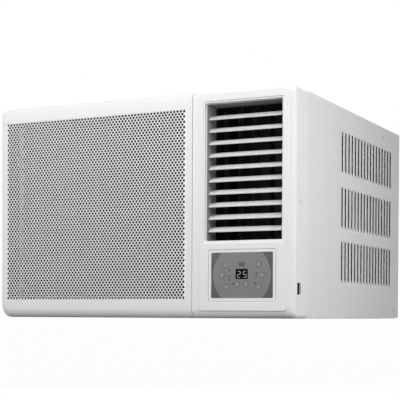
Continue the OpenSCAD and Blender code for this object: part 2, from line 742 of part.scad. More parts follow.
module cabinet() color(steel_white) from_corner() {
    x1 = body_w - cab_in;
    difference() {
        union() {
            difference() {
                box([cab_in, cab_y, 2], [x1, rear_y, cab_top]);
                box([cab_in + sheet, cab_y - 1, 1], [x1 - sheet, rear_y + 1, cab_top - sheet]);
            }
            on_sides() {
                translate([-sheet, 0, 0]) louvre_press();
                // stiffening bead ahead of the louvres
                translate([0, 201, 47]) linear_extrude(369)
                    polygon([[-0.6, -5], [0, -5], [1.2, -1.5], [1.2, 1.5], [0, 5], [-0.6, 5]]);
            }
        }
        on_sides() louvre_press();
        for (at = cabinet_screws) bar_x([-1, at[0], at[1]], 2.1, body_w + 2);
    }
    // tabs that reach into the front: two on the left, one on the right
    for (z = left_tabs) difference() {
        box([cab_in, 50, z - 10], [cab_in + sheet, cab_y + EPS, z + 10]);
        bar_x([cab_in - 1, 58, z], 1.9, 4);
    }
    difference() {
        union() {
            box([body_w - 8 - sheet, 22, 207], [body_w - 8, 72, 223]);
            box([body_w - 8 - sheet, 70.8, 207], [x1 - sheet + EPS, 72, 223]);
        }
        bar_x([body_w - 12, 30, 215], 1.9, 8);
    }
    // flange at the rear that the guard sits against
    difference() {
        box([cab_in + sheet - EPS, 664, 36], [x1 - sheet + EPS, 665.2, cab_top - sheet + EPS]);
        box([24, 660, 30], [body_w - 24, 670, 412]);
    }
}

module rear_guard() color("#3c3e40") from_corner() {
    difference() {
        box([14, 661, 38], [body_w - 14, 664, 420]);
        box([26, 650, 50], [body_w - 26, 670, 410]);
    }
    for (i = [1 : 14]) bar_x([20, 662.5, 50 + i * 24], 1.25, body_w - 40);
    for (i = [1 : 3]) bar_z([14 + i * 158, 660.2, 40], 1.25, 378);
}

// ---------------------------------------------------------------- electrics and controls

module electrical_box() color("#b4b6b8") from_corner() difference() {
    box([466, 26, 3.2], [body_w - 14, 188, 118]);
    box([467.2, 24, 4.4], [body_w - 15.2, 186.8, 116.8]);
}

module inverter_board() color("#2f6b45") from_corner() {
    box([476, 40, 16], [body_w - 24, 180, 17.6]);
    // capacitors, choke, and the finned heat sink
    for (i = [0 : 2]) bar_z([500 + i * 30, 150, 17.5], 12.5, 40);
    bar_z([610, 150, 17.5], 17, 30);
    box([500, 60, 17.5], [600, 110, 24]);
    for (i = [0 : 9]) box([500 + i * 10.8, 60, 23.9], [502 + i * 10.8, 110, 54]);
    for (x = [484, body_w - 32], y = [50, 170]) bar_z([x, y, 4.4], 3, 12);
}

module control_plate() color("#77787a") from_corner() difference() {
    upright(0.4, 1.1) polygon(outline(plate_x - plate_w / 2, plate_z - plate_h / 2,
        plate_x + plate_w / 2, plate_z + plate_h / 2, [3, 3, 3, 3]));
    box([plate_x - 12.7, 0, plate_z - 7.3], [plate_x + 12.7, 3, plate_z + 12]);
    box([plate_x - 6.2, 0, plate_z + 16.8], [plate_x + 6.2, 3, plate_z + 25.2]);
    for (p = button_at) bar_y([plate_x + p[0], -1, plate_z + p[1]], button_r + 0.3, 4);
}

module display_window() color("#101112") from_corner() {
    box([plate_x - 12.5, 0.2, plate_z - 7.1], [plate_x + 12.5, 9, plate_z + 11.8]);
    box([plate_x - 6, 0.3, plate_z + 17], [plate_x + 6, 9, plate_z + 25]);
}

module display_board() color("#2f6b45") from_corner() {
    difference() {
        box([plate_x - 60, 14.6, plate_z - 41], [plate_x + 60, 16.2, plate_z + 41]);
        for (sx = [-1, 1], sz = [-1, 1])
            bar_y([plate_x + sx * 55, 14, plate_z + sz * 36], 1.25, 4);
    }
    box([plate_x - 12.5, 9.2, plate_z - 7.1], [plate_x + 12.5, 14.7, plate_z + 11.8]);
    for (p = button_at)
        box([plate_x + p[0] - 3, 12.8, plate_z + p[1] - 3], [plate_x + p[0] + 3, 14.7, plate_z + p[1] + 3]);
}

module cord_gland() color("#1b1c1d") from_corner() difference() {
    union() {
        bar_x([0.1, 52, 30], 6, 9);
        bar_x([6, 52, 30], 8, 3.1);
    }
    bar_x([-1, 52, 30], 4.2, 12);
}

module swing_motor() color("#d8d9da") from_corner() difference() {
    union() {
        bar_z([vane_x(1), vane_y, 124], 13, 16);
        box([vane_x(1) - 20, vane_y - 4, 139], [vane_x(1) + 20, vane_y + 4, 140]);
        bar_z([vane_x(1), vane_y, 140], 4, 4);
    }
    bar_z([vane_x(1), vane_y, 134], pin_r + RUN, 12);
}

module button(i) color("#a7a8aa") from_corner() {
    p = button_at[i - 1];
    translate([plate_x + p[0], 0, plate_z + p[1]]) {
        bar_y([0, 0.1, 0], button_r, 4.7);
        bar_y([0, 4.7, 0], button_r + 1.2, 1.2);
        bar_y([0, 5.8, 0], 1.5, 5.8);
    }
}

// ---------------------------------------------------------------- louvres and vanes

module louvre(i) color(white) from_corner() {
    translate([outlet_x0, louvre_y, louvre_z(i)]) {
        rotate([louvre_tilt, 0, 0]) {
            // blade with rounded edges
            rotate([90, 0, 90]) translate([0, 0, 2]) linear_extrude(outlet_w - 5.5) {
                half = louvre_chord / 2 - louvre_t / 2;
                translate([-half, -louvre_t / 2]) square([2 * half, louvre_t]);
                for (s = [-1, 1]) translate([s * half, 0]) circle(r = louvre_t / 2);
            }
            bar_x([2, 0, 0], 3, 1.2);
            bar_x([outlet_w - 4.7, 0, 0], 3, 1.2);
            bar_x([outlet_w - 4, link_arm, 0], link_pin_r, 3.6);
        }
        bar_x([-2.6, 0, 0], pin_r, outlet_w + 5.2);
    }
}

// Upright bar that ties the louvres together at their right ends
module louvre_link() color(dark_grey) from_corner() {
    y = louvre_y + link_arm * cos(louvre_tilt);
    dz = link_arm * sin(louvre_tilt);
    x = outlet_x1 - 2.7;
    difference() {
        box([x, y - 2.4, louvre_z(LOUVRES) + dz - 3], [x + 1.8, y + 2.4, louvre_z(1) + dz + 3]);
        for (i = [1 : LOUVRES]) bar_x([x - 1, y, louvre_z(i) + dz], link_pin_r + RUN, 4);
    }
}

module vane(i) color(dark_grey) from_corner() {
    z0 = outlet_z0 + 8.4;
    z1 = outlet_z1 - 6;
    pin_end = i == 1 ? 11.2 : 2.6;
    translate([vane_x(i), vane_y, 0]) {
        box([-0.9, -vane_chord / 2, z0], [0.9, vane_chord / 2, z1]);
        bar_z([0, 0, outlet_z0 - pin_end], pin_r, outlet_h + pin_end + 2.6);
        bar_z([0, vane_arm, z0 - 6.8], link_pin_r, 7);
        bar_z([0, 0, z0 - 2], 2.4, 3);
    }
}

module vane_link() color(dark_grey) from_corner() difference() {
    box([vane_x(1) - 4, vane_y + vane_arm - 2.4, outlet_z0 + 2],
        [vane_x(VANES) + 4, vane_y + vane_arm + 2.4, outlet_z0 + 4]);
    for (i = [1 : VANES]) bar_z([vane_x(i), vane_y + vane_arm, outlet_z0], link_pin_r + RUN, 8);
}

front_frame();
outlet_bezel();
outlet_frame();
intake_door();
perforated_sheet();
filter_frame();
filter_mesh();
evaporator_fins();
evaporator_tubes();
drain_tray();
scroll_casing();
blower_wheel();
bulkhead();
fan_motor();
fan_shaft();
condenser_fan();
condenser_shroud();
condenser_fins();
condenser_tubes();
coil_end_plates();
compressor();
compressor_grommets();
accumulator();
refrigerant_pipes();
base_pan();
cabinet();
electrical_box();
inverter_board();
control_plate();
display_window();
display_board();
cord_gland();
rear_guard();
swing_motor();
screws();
louvre_link();
vane_link();
for (i = [1 : LOUVRES]) louvre(i);
for (i = [1 : VANES]) vane(i);
for (i = [1 : BUTTONS]) button(i);
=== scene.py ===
# %% [markdown]
# # Dressing a window air conditioner
#
# The mechanical model of this air conditioner is already made: a moulded front, a steel
# cabinet, coils, fans and 28 moving bodies, each a solid of its real size. This notebook
# gives it its looks. It loads that model as a fixed frame, lights it, finishes every
# surface with a material built from nodes, and models again, with Blender's own tools,
# the pieces that a plain solid can't show well: the finely perforated sheet, the rounded
# mouldings, the louvre blades, the control panel, the fins and the net of the filter.

# %% Load the frame
import json
import math

import bmesh
import bpy
from mathutils import Matrix, Vector


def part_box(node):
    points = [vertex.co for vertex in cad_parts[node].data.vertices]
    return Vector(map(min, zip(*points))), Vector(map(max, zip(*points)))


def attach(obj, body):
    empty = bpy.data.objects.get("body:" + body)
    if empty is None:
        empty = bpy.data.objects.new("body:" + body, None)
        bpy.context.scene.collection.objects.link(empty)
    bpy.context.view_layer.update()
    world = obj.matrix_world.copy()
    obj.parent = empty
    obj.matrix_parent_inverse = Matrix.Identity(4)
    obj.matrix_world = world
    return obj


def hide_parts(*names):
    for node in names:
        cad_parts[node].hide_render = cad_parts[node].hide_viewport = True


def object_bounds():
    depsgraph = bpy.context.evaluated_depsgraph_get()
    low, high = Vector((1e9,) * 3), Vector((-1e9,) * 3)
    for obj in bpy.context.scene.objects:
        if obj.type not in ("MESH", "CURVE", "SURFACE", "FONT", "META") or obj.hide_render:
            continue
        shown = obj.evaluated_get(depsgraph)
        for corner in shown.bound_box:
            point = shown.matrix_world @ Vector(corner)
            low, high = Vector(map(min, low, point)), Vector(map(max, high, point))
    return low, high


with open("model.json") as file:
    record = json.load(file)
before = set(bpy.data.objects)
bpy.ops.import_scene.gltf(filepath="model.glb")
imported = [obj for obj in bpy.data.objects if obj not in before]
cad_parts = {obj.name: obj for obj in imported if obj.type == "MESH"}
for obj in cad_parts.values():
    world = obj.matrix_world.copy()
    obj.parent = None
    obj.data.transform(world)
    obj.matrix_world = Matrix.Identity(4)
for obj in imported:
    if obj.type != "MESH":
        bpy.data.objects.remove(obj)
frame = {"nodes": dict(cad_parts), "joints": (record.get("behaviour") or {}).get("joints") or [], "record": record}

cad_low, cad_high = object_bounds()

# %% [markdown]
# ## Places and sizes
#
# Drawings of a machine like this are dimensioned in millimetres from one corner, and so
# is this notebook: `at` turns millimetres from the front, left, bottom corner into the
# metres of the frame.

# %% Millimetres from the corner
MM = 0.001


def at(x, y, z):
    """A point of the frame, from millimetres right of, behind and above the front corner."""
    return cad_low + Vector((x, y, z)) * MM


def span(node):
    """Lowest and highest corner of a construction node, in millimetres from the front corner."""
    low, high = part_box(node)
    return (low - cad_low) / MM, (high - cad_low) / MM


unit_w, unit_d, unit_h = (cad_high - cad_low) / MM
print(f"the unit is {unit_w:.0f} x {unit_d:.0f} x {unit_h:.0f} mm")

# %% [markdown]
# ## Camera
#
# The view is from the right, at the height of the floor that the unit stands on, with a
# lens of about 100 mm. The camera looks nearly level, so that upright edges stay parallel,
# and a vertical shift of its sensor takes in the top, as with a view camera.

# %% Camera
camera_data = bpy.data.cameras.new("studio_camera")
camera_data.lens = 103.6
camera_data.sensor_width = 36.0
camera_data.shift_y = 0.3368
camera_data.clip_end = 50
camera = bpy.data.objects.new("studio_camera", camera_data)
bpy.context.scene.collection.objects.link(camera)
turn = Matrix.Rotation(math.radians(26.37), 4, "Z")
tip = Matrix.Rotation(math.radians(90 - 0.98), 4, "X")
roll = Matrix.Rotation(math.radians(0.29), 4, "Z")
camera.matrix_world = Matrix.Translation(at(1445.2, -1973.6, 6.0)) @ turn @ tip @ roll
bpy.context.scene.camera = camera
print("camera at", [round(c, 3) for c in camera.location])

# %% [markdown]
# ## Colour and nodes
#
# Colours are written as the sRGB codes that a colour card or a picture editor shows, and
# one function turns them to the linear values that the renderer works in. One more small
# function adds a shader node with its settings and links, so that each material below
# reads as a short recipe.

# %% Helpers for materials
scene = bpy.context.scene
scene.view_settings.view_transform = "Standard"


def srgb(code):
    """Linear colour with alpha from an sRGB code such as #e9eaeb."""
    parts = [int(code[i:i + 2], 16) / 255 for i in (1, 3, 5)]
    linear = [c / 12.92 if c <= 0.04045 else ((c + 0.055) / 1.055) ** 2.4 for c in parts]
    return (*linear, 1.0)


def add_node(tree, kind, settings=None, links=None):
    """Adds a node; settings are its properties or socket values, links its inputs' sources."""
    made = tree.nodes.new(kind)
    for name, value in (settings or {}).items():
        if isinstance(name, str) and hasattr(made, name):
            setattr(made, name, value)
        else:
            made.inputs[name].default_value = value
    for name, source in (links or {}).items():
        tree.links.new(source, made.inputs[name])
    return made


def start_material(name, **values):
    """A material with its Principled shader, whose sockets take the values given."""
    made = bpy.data.materials.new(name)
    made.use_nodes = True
    shader = made.node_tree.nodes["Principled BSDF"]
    for socket, value in values.items():
        shader.inputs[socket.replace("_", " ")].default_value = value
    return made, made.node_tree, shader


print("view transform:", scene.view_settings.view_transform)

# %% [markdown]
# ## Stage and light
#
# The unit stands on a pale floor in front of nothing. The floor is a dark grey for the
# light that bounces off it, so that the underside stays darker than the front, while the
# camera, mirrors and glass see it almost white and with a trace of the unit's shadow.
# The key light stands in front on the left. A soft one above brightens the roundings along
# the top, and two small ones near the right front corner let the side fall off to the back.
# A rear one keeps the back readable, and an even world fills the rest, at about the level
# at which a colour renders as it is written.

# %% Floor and world
def seen_directly(tree):
    """Socket that is 1 where the camera, a mirror or a glass looks, and 0 for bounced light."""
    path = add_node(tree, "ShaderNodeLightPath")
    seen = add_node(tree, "ShaderNodeMath", {"operation": "MAXIMUM"},
                    {0: path.outputs["Is Camera Ray"], 1: path.outputs["Is Glossy Ray"]})
    seen = add_node(tree, "ShaderNodeMath", {"operation": "MAXIMUM"},
                    {0: seen.outputs[0], 1: path.outputs["Is Transmission Ray"]})
    return seen.outputs[0]


bpy.ops.mesh.primitive_plane_add(size=14, location=(0, 0, -0.0005))
floor = bpy.context.object
floor.name = "studio_floor"
floor_paint, tree, shader = start_material("pale_studio_floor", Roughness=0.9)
shader.inputs["Base Color"].default_value = srgb("#383838")
share = add_node(tree, "ShaderNodeMath", {"operation": "MULTIPLY", 1: 0.93},
                 {0: seen_directly(tree)})
glow = add_node(tree, "ShaderNodeEmission", {"Color": (1, 1, 1, 1), "Strength": 1.04})
blend = add_node(tree, "ShaderNodeMixShader", None,
                 {0: share.outputs[0], 1: shader.outputs[0], 2: glow.outputs[0]})
tree.links.new(blend.outputs[0], tree.nodes["Material Output"].inputs["Surface"])
floor.data.materials.append(floor_paint)

world = bpy.data.worlds.new("white_studio")
scene.world = world
world.use_nodes = True
tree = world.node_tree
room_light = tree.nodes["Background"]
room_light.inputs["Color"].default_value = (1, 1, 1, 1)
room_light.inputs["Strength"].default_value = 0.20
backdrop = add_node(tree, "ShaderNodeBackground", {"Color": (1, 1, 1, 1), "Strength": 1.0})
blend = add_node(tree, "ShaderNodeMixShader", None,
                 {0: seen_directly(tree), 1: room_light.outputs[0], 2: backdrop.outputs[0]})
tree.links.new(blend.outputs[0], tree.nodes["World Output"].inputs["Surface"])
print("world light:", room_light.inputs["Strength"].default_value)

# %% Lamps
LAMPS = {
    # name: (place in metres, point it looks at, width in metres, watts)
    "front_left_softbox": ((-1.6, -3.0, 1.4), (0.0, -0.3, 0.2), 1.6, 62),
    "top_softbox": ((0.0, -0.9, 2.4), (0.0, -0.2, 0.4), 1.6, 19),
    "corner_softbox": ((1.0, -0.9, 0.7), (0.33, -0.25, 0.2), 0.6, 4.4),
    "low_side_softbox": ((1.15, -0.35, 0.22), (0.33, -0.2, 0.15), 0.6, 3.6),
    "rear_softbox": ((-0.5, 2.6, 1.4), (-0.2, 0.3, 0.2), 1.6, 24),
}
for name, (place, target, width, watts) in LAMPS.items():
    lamp_data = bpy.data.lights.new(name, "AREA")
    lamp_data.size = width
    lamp_data.energy = watts
    lamp = bpy.data.objects.new(name, lamp_data)
    lamp.location = place
    aim = Vector(target) - Vector(place)
    lamp.rotation_euler = aim.to_track_quat("-Z", "Y").to_euler()
    scene.collection.objects.link(lamp)
    print(name, watts, "W")

# %% [markdown]
# ## Moulded plastics
#
# Most of what the hand meets is ABS, injection moulded. Its mould was spark-eroded, which
# leaves a fine, even grain that turns the gloss to satin. The real grain is near 0.3 mm
# and wouldn't show, so it is drawn at about a millimetre. A second, large and very weak
# noise shifts the tone by a per cent or so, as flow in the mould does.

# %% Plastics
def moulded_plastic(name, light, dark, rough, grain=1.1, depth=0.010, ior=1.54):
    """A moulded plastic whose tone wanders between two codes, with a grain and its depth in mm."""
    made, tree, shader = start_material(name, IOR=ior, Roughness=rough)
    where = add_node(tree, "ShaderNodeTexCoord").outputs["Object"]
    flow = add_node(tree, "ShaderNodeTexNoise", {"Scale": 1 / (90 * MM), "Detail": 2.0},
                    {"Vector": where})
    tone = add_node(tree, "ShaderNodeMix", {"data_type": "RGBA", 6: srgb(dark), 7: srgb(light)},
                    {0: flow.outputs["Fac"]})
    tree.links.new(tone.outputs[2], shader.inputs["Base Color"])
    pits = add_node(tree, "ShaderNodeTexNoise",
                    {"Scale": 1 / (grain * MM), "Detail": 3.0, "Roughness": 0.6},
                    {"Vector": where})
    gloss = add_node(tree, "ShaderNodeMapRange",
                     {"From Min": 0.3, "From Max": 0.7, "To Min": rough - 0.04, "To Max": rough + 0.05},
                     {"Value": pits.outputs["Fac"]})
    tree.links.new(gloss.outputs["Result"], shader.inputs["Roughness"])
    bump = add_node(tree, "ShaderNodeBump", {"Strength": 0.5, "Distance": depth * MM},
                    {"Height": pits.outputs["Fac"]})
    tree.links.new(bump.outputs["Normal"], shader.inputs["Normal"])
    return made


# Satin white: soft highlights that still follow the roundings
satin_white_abs = moulded_plastic("satin_white_moulded_abs", "#ecedef", "#e9eaec", 0.38)
# Louvre blades are polished a little more, and catch a thin bright line on their edge
polished_white_abs = moulded_plastic("polished_white_moulded_abs", "#f1f2f3", "#eeeff0", 0.30, depth=0.005)
# Throat round the louvres: white plastic drawn mid grey as painted shade on its walls; the black duct lies behind
# it
throat_painted_shade_abs = moulded_plastic("mid_grey_painted_shade_abs", "#9b9d9f", "#969899", 0.50, depth=0.012)
dark_grey_abs = moulded_plastic("dark_grey_moulded_abs", "#4d4e50", "#48494b", 0.55, depth=0.016)
black_abs = moulded_plastic("black_moulded_abs", "#1d1e20", "#18191b", 0.60, depth=0.016)
# Push buttons: a little lighter than the film round them
button_abs = moulded_plastic("grey_button_abs", "#88898b", "#818284", 0.35, grain=0.8, depth=0.004)
# Polypropylene is waxier than ABS
filter_polypropylene = moulded_plastic("dark_moulded_polypropylene", "#27292b", "#212325", 0.50, ior=1.49)
net_polypropylene = moulded_plastic("drawn_polypropylene_net", "#1f2123", "#191b1d", 0.55, ior=1.49)
filled_polypropylene = moulded_plastic("glass_filled_polypropylene", "#34363a", "#2c2e31", 0.58, ior=1.49)
cream_casing = moulded_plastic("white_motor_casing_pbt", "#dfe0e1", "#d7d8d9", 0.42)
print("plastics:", len(bpy.data.materials) - 1)

# %% [markdown]
# ## Painted, coated and bare metal
#
# The cabinet is sheet steel with a powder coat, which melts into a skin with the slow
# ripple that painters call orange peel. The perforated sheet has the same coat, thinner,
# so that its small holes stay open. Galvanised steel shows spangle, the flat crystals of
# zinc. The coils, their fins and their pipes are drawn black, as painted shade of the
# unit's inside, where they are seen through holes and louvres.

# %% Metals
def powder_coat(name, light, dark, rough, peel=3.2, depth=0.010):
    """A powder coat with orange peel of a width and depth in mm."""
    made, tree, shader = start_material(name, IOR=1.52, Roughness=rough)
    where = add_node(tree, "ShaderNodeTexCoord").outputs["Object"]
    drift = add_node(tree, "ShaderNodeTexNoise", {"Scale": 1 / (140 * MM), "Detail": 3.0},
                     {"Vector": where})
    tone = add_node(tree, "ShaderNodeMix", {"data_type": "RGBA", 6: srgb(dark), 7: srgb(light)},
                    {0: drift.outputs["Fac"]})
    tree.links.new(tone.outputs[2], shader.inputs["Base Color"])
    ripple = add_node(tree, "ShaderNodeTexNoise",
                      {"Scale": 1 / (peel * MM), "Detail": 1.5, "Roughness": 0.4},
                      {"Vector": where})
    bump = add_node(tree, "ShaderNodeBump", {"Strength": 0.6, "Distance": depth * MM},
                    {"Height": ripple.outputs["Fac"]})
    tree.links.new(bump.outputs["Normal"], shader.inputs["Normal"])
    return made


def bare_metal(name, light, dark, rough, cell=14, stretch=(1, 1, 1), depth=0.004):
    """A metal whose tone changes by crystal or patch, of a size in mm and a stretch per axis."""
    made, tree, shader = start_material(name, Metallic=1.0, Roughness=rough)
    where = add_node(tree, "ShaderNodeTexCoord").outputs["Object"]
    laid = add_node(tree, "ShaderNodeMapping", {"Scale": [s / (cell * MM) for s in stretch]},
                    {"Vector": where})
    crystal = add_node(tree, "ShaderNodeTexVoronoi", {"Scale": 1.0, "Randomness": 1.0},
                       {"Vector": laid.outputs[0]})
    grey = add_node(tree, "ShaderNodeSeparateColor", None, {"Color": crystal.outputs["Color"]})
    tone = add_node(tree, "ShaderNodeMix", {"data_type": "RGBA", 6: srgb(dark), 7: srgb(light)},
                    {0: grey.outputs[0]})
    tree.links.new(tone.outputs[2], shader.inputs["Base Color"])
    gloss = add_node(tree, "ShaderNodeMapRange",
                     {"To Min": rough - 0.06, "To Max": rough + 0.08}, {"Value": grey.outputs[1]})
    tree.links.new(gloss.outputs["Result"], shader.inputs["Roughness"])
    fine = add_node(tree, "ShaderNodeTexNoise", {"Scale": 1 / (1.2 * MM), "Detail": 2.0},
                    {"Vector": where})
    bump = add_node(tree, "ShaderNodeBump", {"Strength": 0.4, "Distance": depth * MM},
                    {"Height": fine.outputs["Fac"]})
    tree.links.new(bump.outputs["Normal"], shader.inputs["Normal"])
    return made


# Cabinet: the white of the mouldings with a broader, softer sheen
cabinet_coat = powder_coat("white_powder_coat", "#e9eaeb", "#e5e6e8", 0.45)
# Perforated sheet: white, thin coat, hardly any peel
perforated_coat = powder_coat("white_powder_coat_on_mesh", "#f6f6f7", "#f3f3f5", 0.42, peel=2.0,
                              depth=0.004)
# Motor: hammer-grey enamel; compressor: black enamel with a wet look
motor_enamel = powder_coat("grey_motor_enamel", "#8d9094", "#84878b", 0.40, peel=2.4)
compressor_enamel = powder_coat("black_compressor_enamel", "#222427", "#1a1c1e", 0.28, peel=5.0)
# Dipped guard wire: black, thick, rounded at its crossings
guard_coat = powder_coat("black_dip_coat_on_wire", "#2c2e30", "#242628", 0.45, peel=2.0)
galvanised_steel = bare_metal("galvanised_sheet_steel", "#c3c6c9", "#a8abae", 0.38, cell=11)
# Fins: aluminium drawn black as painted shade of the unit's inside
fin_black_painted_shade = powder_coat("fin_aluminium_black_painted_shade", "#1a1c1e", "#141618", 0.38, peel=6.0, depth=0.003)
# Copper tubes, coil end plates and pipes drawn black as painted shade of the unit's inside
coil_black_painted_shade = powder_coat("copper_tube_black_painted_shade", "#2f2a28", "#26211f", 0.36, peel=5.0,
                               depth=0.003)
ground_steel = bare_metal("ground_shaft_steel", "#d0d2d4", "#bdbfc1", 0.22, cell=5, stretch=(1, 8, 1))
zinc_screw = bare_metal("zinc_plated_screw_steel", "#d2d3d2", "#bcbdbb", 0.30, cell=4)
# Dark steel for the screw in its deep seat: painted shade of the recess
screw_painted_recess_shade = bare_metal("screw_steel_painted_recess_shade", "#3a3b3c", "#2e2f30", 0.45, cell=4)
print("metals:", [m.name for m in bpy.data.materials if "steel" in m.name])

# %% [markdown]
# ## Rubber, foam, board, film and acrylic
#
# These are the small finishes. The control film is polycarbonate printed on its back, with
# a large lighter disc that runs off the top and bottom edge, so the disc belongs to the
# material and not to the mesh. The smoked acrylic over the display is glossy and nearly
# black, and the lit segments under it glow a pale, slightly warm white.

# %% Rubber, foam and circuit board
black_rubber = moulded_plastic("black_moulded_rubber", "#1c1c1d", "#171718", 0.75, grain=1.6,
                               depth=0.02, ior=1.52)

black_foam = moulded_plastic("black_closed_cell_foam", "#1a1a1b", "#131314", 0.85, grain=1.4,
                             depth=0.08, ior=1.45)

bead_foam, tree, shader = start_material("white_bead_foam", IOR=1.5, Roughness=0.85)
where = add_node(tree, "ShaderNodeTexCoord").outputs["Object"]
beads = add_node(tree, "ShaderNodeTexVoronoi", {"Scale": 1 / (4.5 * MM)}, {"Vector": where})
tone = add_node(tree, "ShaderNodeMix", {"data_type": "RGBA", 6: srgb("#f0f0ed"), 7: srgb("#d9d9d4")},
                {0: beads.outputs["Distance"]})
tree.links.new(tone.outputs[2], shader.inputs["Base Color"])
bump = add_node(tree, "ShaderNodeBump", {"Strength": 0.6, "Distance": 0.25 * MM, "invert": True},
                {"Height": beads.outputs["Distance"]})
tree.links.new(bump.outputs["Normal"], shader.inputs["Normal"])

solder_mask, tree, shader = start_material("green_solder_mask_board", IOR=1.52, Roughness=0.32)
where = add_node(tree, "ShaderNodeTexCoord").outputs["Object"]
tracks = add_node(tree, "ShaderNodeTexBrick",
                  {"Scale": 1 / (14 * MM), "Mortar Size": 0.06, "Color1": srgb("#2f6a45"),
                   "Color2": srgb("#2a5f3e"), "Mortar": srgb("#3f8257")}, {"Vector": where})
tree.links.new(tracks.outputs["Color"], shader.inputs["Base Color"])
print("foam and board ready")

# %% Control film, acrylic and lit segments
plate_low, plate_high = span("control_plate")
plate_x = (plate_low.x + plate_high.x) / 2
plate_z = (plate_low.z + plate_high.z) / 2
DISC_R = 59.5  # radius of the lighter disc on the film

control_film, tree, shader = start_material("printed_grey_control_film", IOR=1.58, Roughness=0.34)
where = add_node(tree, "ShaderNodeTexCoord").outputs["Object"]
centre = at(plate_x, 0, plate_z)
from_centre = add_node(tree, "ShaderNodeVectorMath", {"operation": "SUBTRACT", 1: centre}, {0: where})
flat = add_node(tree, "ShaderNodeVectorMath", {"operation": "MULTIPLY", 1: (1, 0, 1)},
                {0: from_centre.outputs[0]})
away = add_node(tree, "ShaderNodeVectorMath", {"operation": "LENGTH"}, {0: flat.outputs[0]})
inside = add_node(tree, "ShaderNodeMapRange",
                  {"From Min": (DISC_R - 0.5) * MM, "From Max": (DISC_R + 0.5) * MM,
                   "To Min": 1.0, "To Max": 0.0}, {"Value": away.outputs["Value"]})
tone = add_node(tree, "ShaderNodeMix", {"data_type": "RGBA", 6: srgb("#2a2b2d"), 7: srgb("#6a6b6d")},
                {0: inside.outputs["Result"]})
speckle = add_node(tree, "ShaderNodeTexNoise", {"Scale": 1 / (0.9 * MM), "Detail": 2.0}, {"Vector": where})
grain = add_node(tree, "ShaderNodeMapRange", {"To Min": 0.94, "To Max": 1.06},
                 {"Value": speckle.outputs["Fac"]})
print_tone = add_node(tree, "ShaderNodeVectorMath", {"operation": "SCALE"},
                      {0: tone.outputs[2], "Scale": grain.outputs["Result"]})
tree.links.new(print_tone.outputs[0], shader.inputs["Base Color"])
bump = add_node(tree, "ShaderNodeBump", {"Strength": 0.4, "Distance": 0.004 * MM},
                {"Height": speckle.outputs["Fac"]})
tree.links.new(bump.outputs["Normal"], shader.inputs["Normal"])

smoked_acrylic, tree, shader = start_material("smoked_gloss_acrylic", IOR=1.49, Roughness=0.2,
                                              Specular_IOR_Level=0.06)
where = add_node(tree, "ShaderNodeTexCoord").outputs["Object"]
smoke = add_node(tree, "ShaderNodeTexNoise", {"Scale": 1 / (8 * MM)}, {"Vector": where})
tone = add_node(tree, "ShaderNodeMix", {"data_type": "RGBA", 6: srgb("#030303"), 7: srgb("#070708")},
                {0: smoke.outputs["Fac"]})
tree.links.new(tone.outputs[2], shader.inputs["Base Color"])

# Dark grey rings round the buttons: painted shade of the gap round each button
button_gap_painted_shade = moulded_plastic("dark_grey_button_gap_painted_shade", "#4c4d4f", "#464749", 0.40, depth=0.001)
infrared_acrylic = moulded_plastic("smoked_infrared_acrylic", "#58595b", "#525355", 0.18, depth=0.001,
                                   ior=1.49)
lamp_lens = moulded_plastic("dark_lamp_lens", "#151617", "#0f1011", 0.22, depth=0.001, ior=1.49)

lit_segment, tree, shader = start_material("lit_pale_segment", IOR=1.49, Roughness=0.4)
where = add_node(tree, "ShaderNodeTexCoord").outputs["Object"]
flicker = add_node(tree, "ShaderNodeTexNoise", {"Scale": 1 / (1.5 * MM)}, {"Vector": where})
tone = add_node(tree, "ShaderNodeMix", {"data_type": "RGBA", 6: srgb("#9c9c97"), 7: srgb("#b2b2ab")},
                {0: flicker.outputs["Fac"]})
tree.links.new(tone.outputs[2], shader.inputs["Base Color"])
tree.links.new(tone.outputs[2], shader.inputs["Emission Color"])
shader.inputs["Emission Strength"].default_value = 0.2
print("film disc radius:", DISC_R, "mm about", round(plate_x, 1), round(plate_z, 1))

# %% [markdown]
# ## Modelling helpers
#
# Every new piece below starts from a primitive and is shaped in edit mode with the same
# operators that a person would use by hand. An operator acts on whatever is selected, so
# `pick` first makes one object the only selected one, and `choose` picks its faces or
# edges by a test on their place and direction.

# %% Helpers for modelling
def pick(piece):
    """Makes piece the only selected object, and the active one."""
    if bpy.context.object and bpy.context.object.mode != "OBJECT":
        bpy.ops.object.mode_set(mode="OBJECT")
    bpy.ops.object.select_all(action="DESELECT")
    piece.select_set(True)
    bpy.context.view_layer.objects.active = piece


def drop_selection():
    """Leaves edit mode and selects nothing."""
    if bpy.context.object and bpy.context.object.mode != "OBJECT":
        bpy.ops.object.mode_set(mode="OBJECT")
    bpy.ops.object.select_all(action="DESELECT")


def block(name, low, high):
    """A box between two corners given in mm, with its place in its mesh."""
    drop_selection()
    a, b = at(*low), at(*high)
    bpy.ops.mesh.primitive_cube_add(size=1, location=(a + b) / 2)
    piece = bpy.context.object
    piece.name = name
    piece.scale = b - a
    bpy.ops.object.transform_apply(location=True, rotation=True, scale=True)
    return piece


def rod(name, start, axis, radius, length, sides=24):
    """A cylinder from a point in mm along X, Y or Z, with its place in its mesh."""
    drop_selection()
    way = Vector([float(a == axis) for a in "XYZ"])
    middle = at(*start) + way * length * MM / 2
    turned = {"X": (0, math.pi / 2, 0), "Y": (math.pi / 2, 0, 0), "Z": (0, 0, 0)}[axis]
    bpy.ops.mesh.primitive_cylinder_add(vertices=sides, radius=radius * MM, depth=length * MM,
                                        location=middle, rotation=turned)
    piece = bpy.context.object
    piece.name = name
    bpy.ops.object.transform_apply(location=True, rotation=True, scale=True)
    return piece


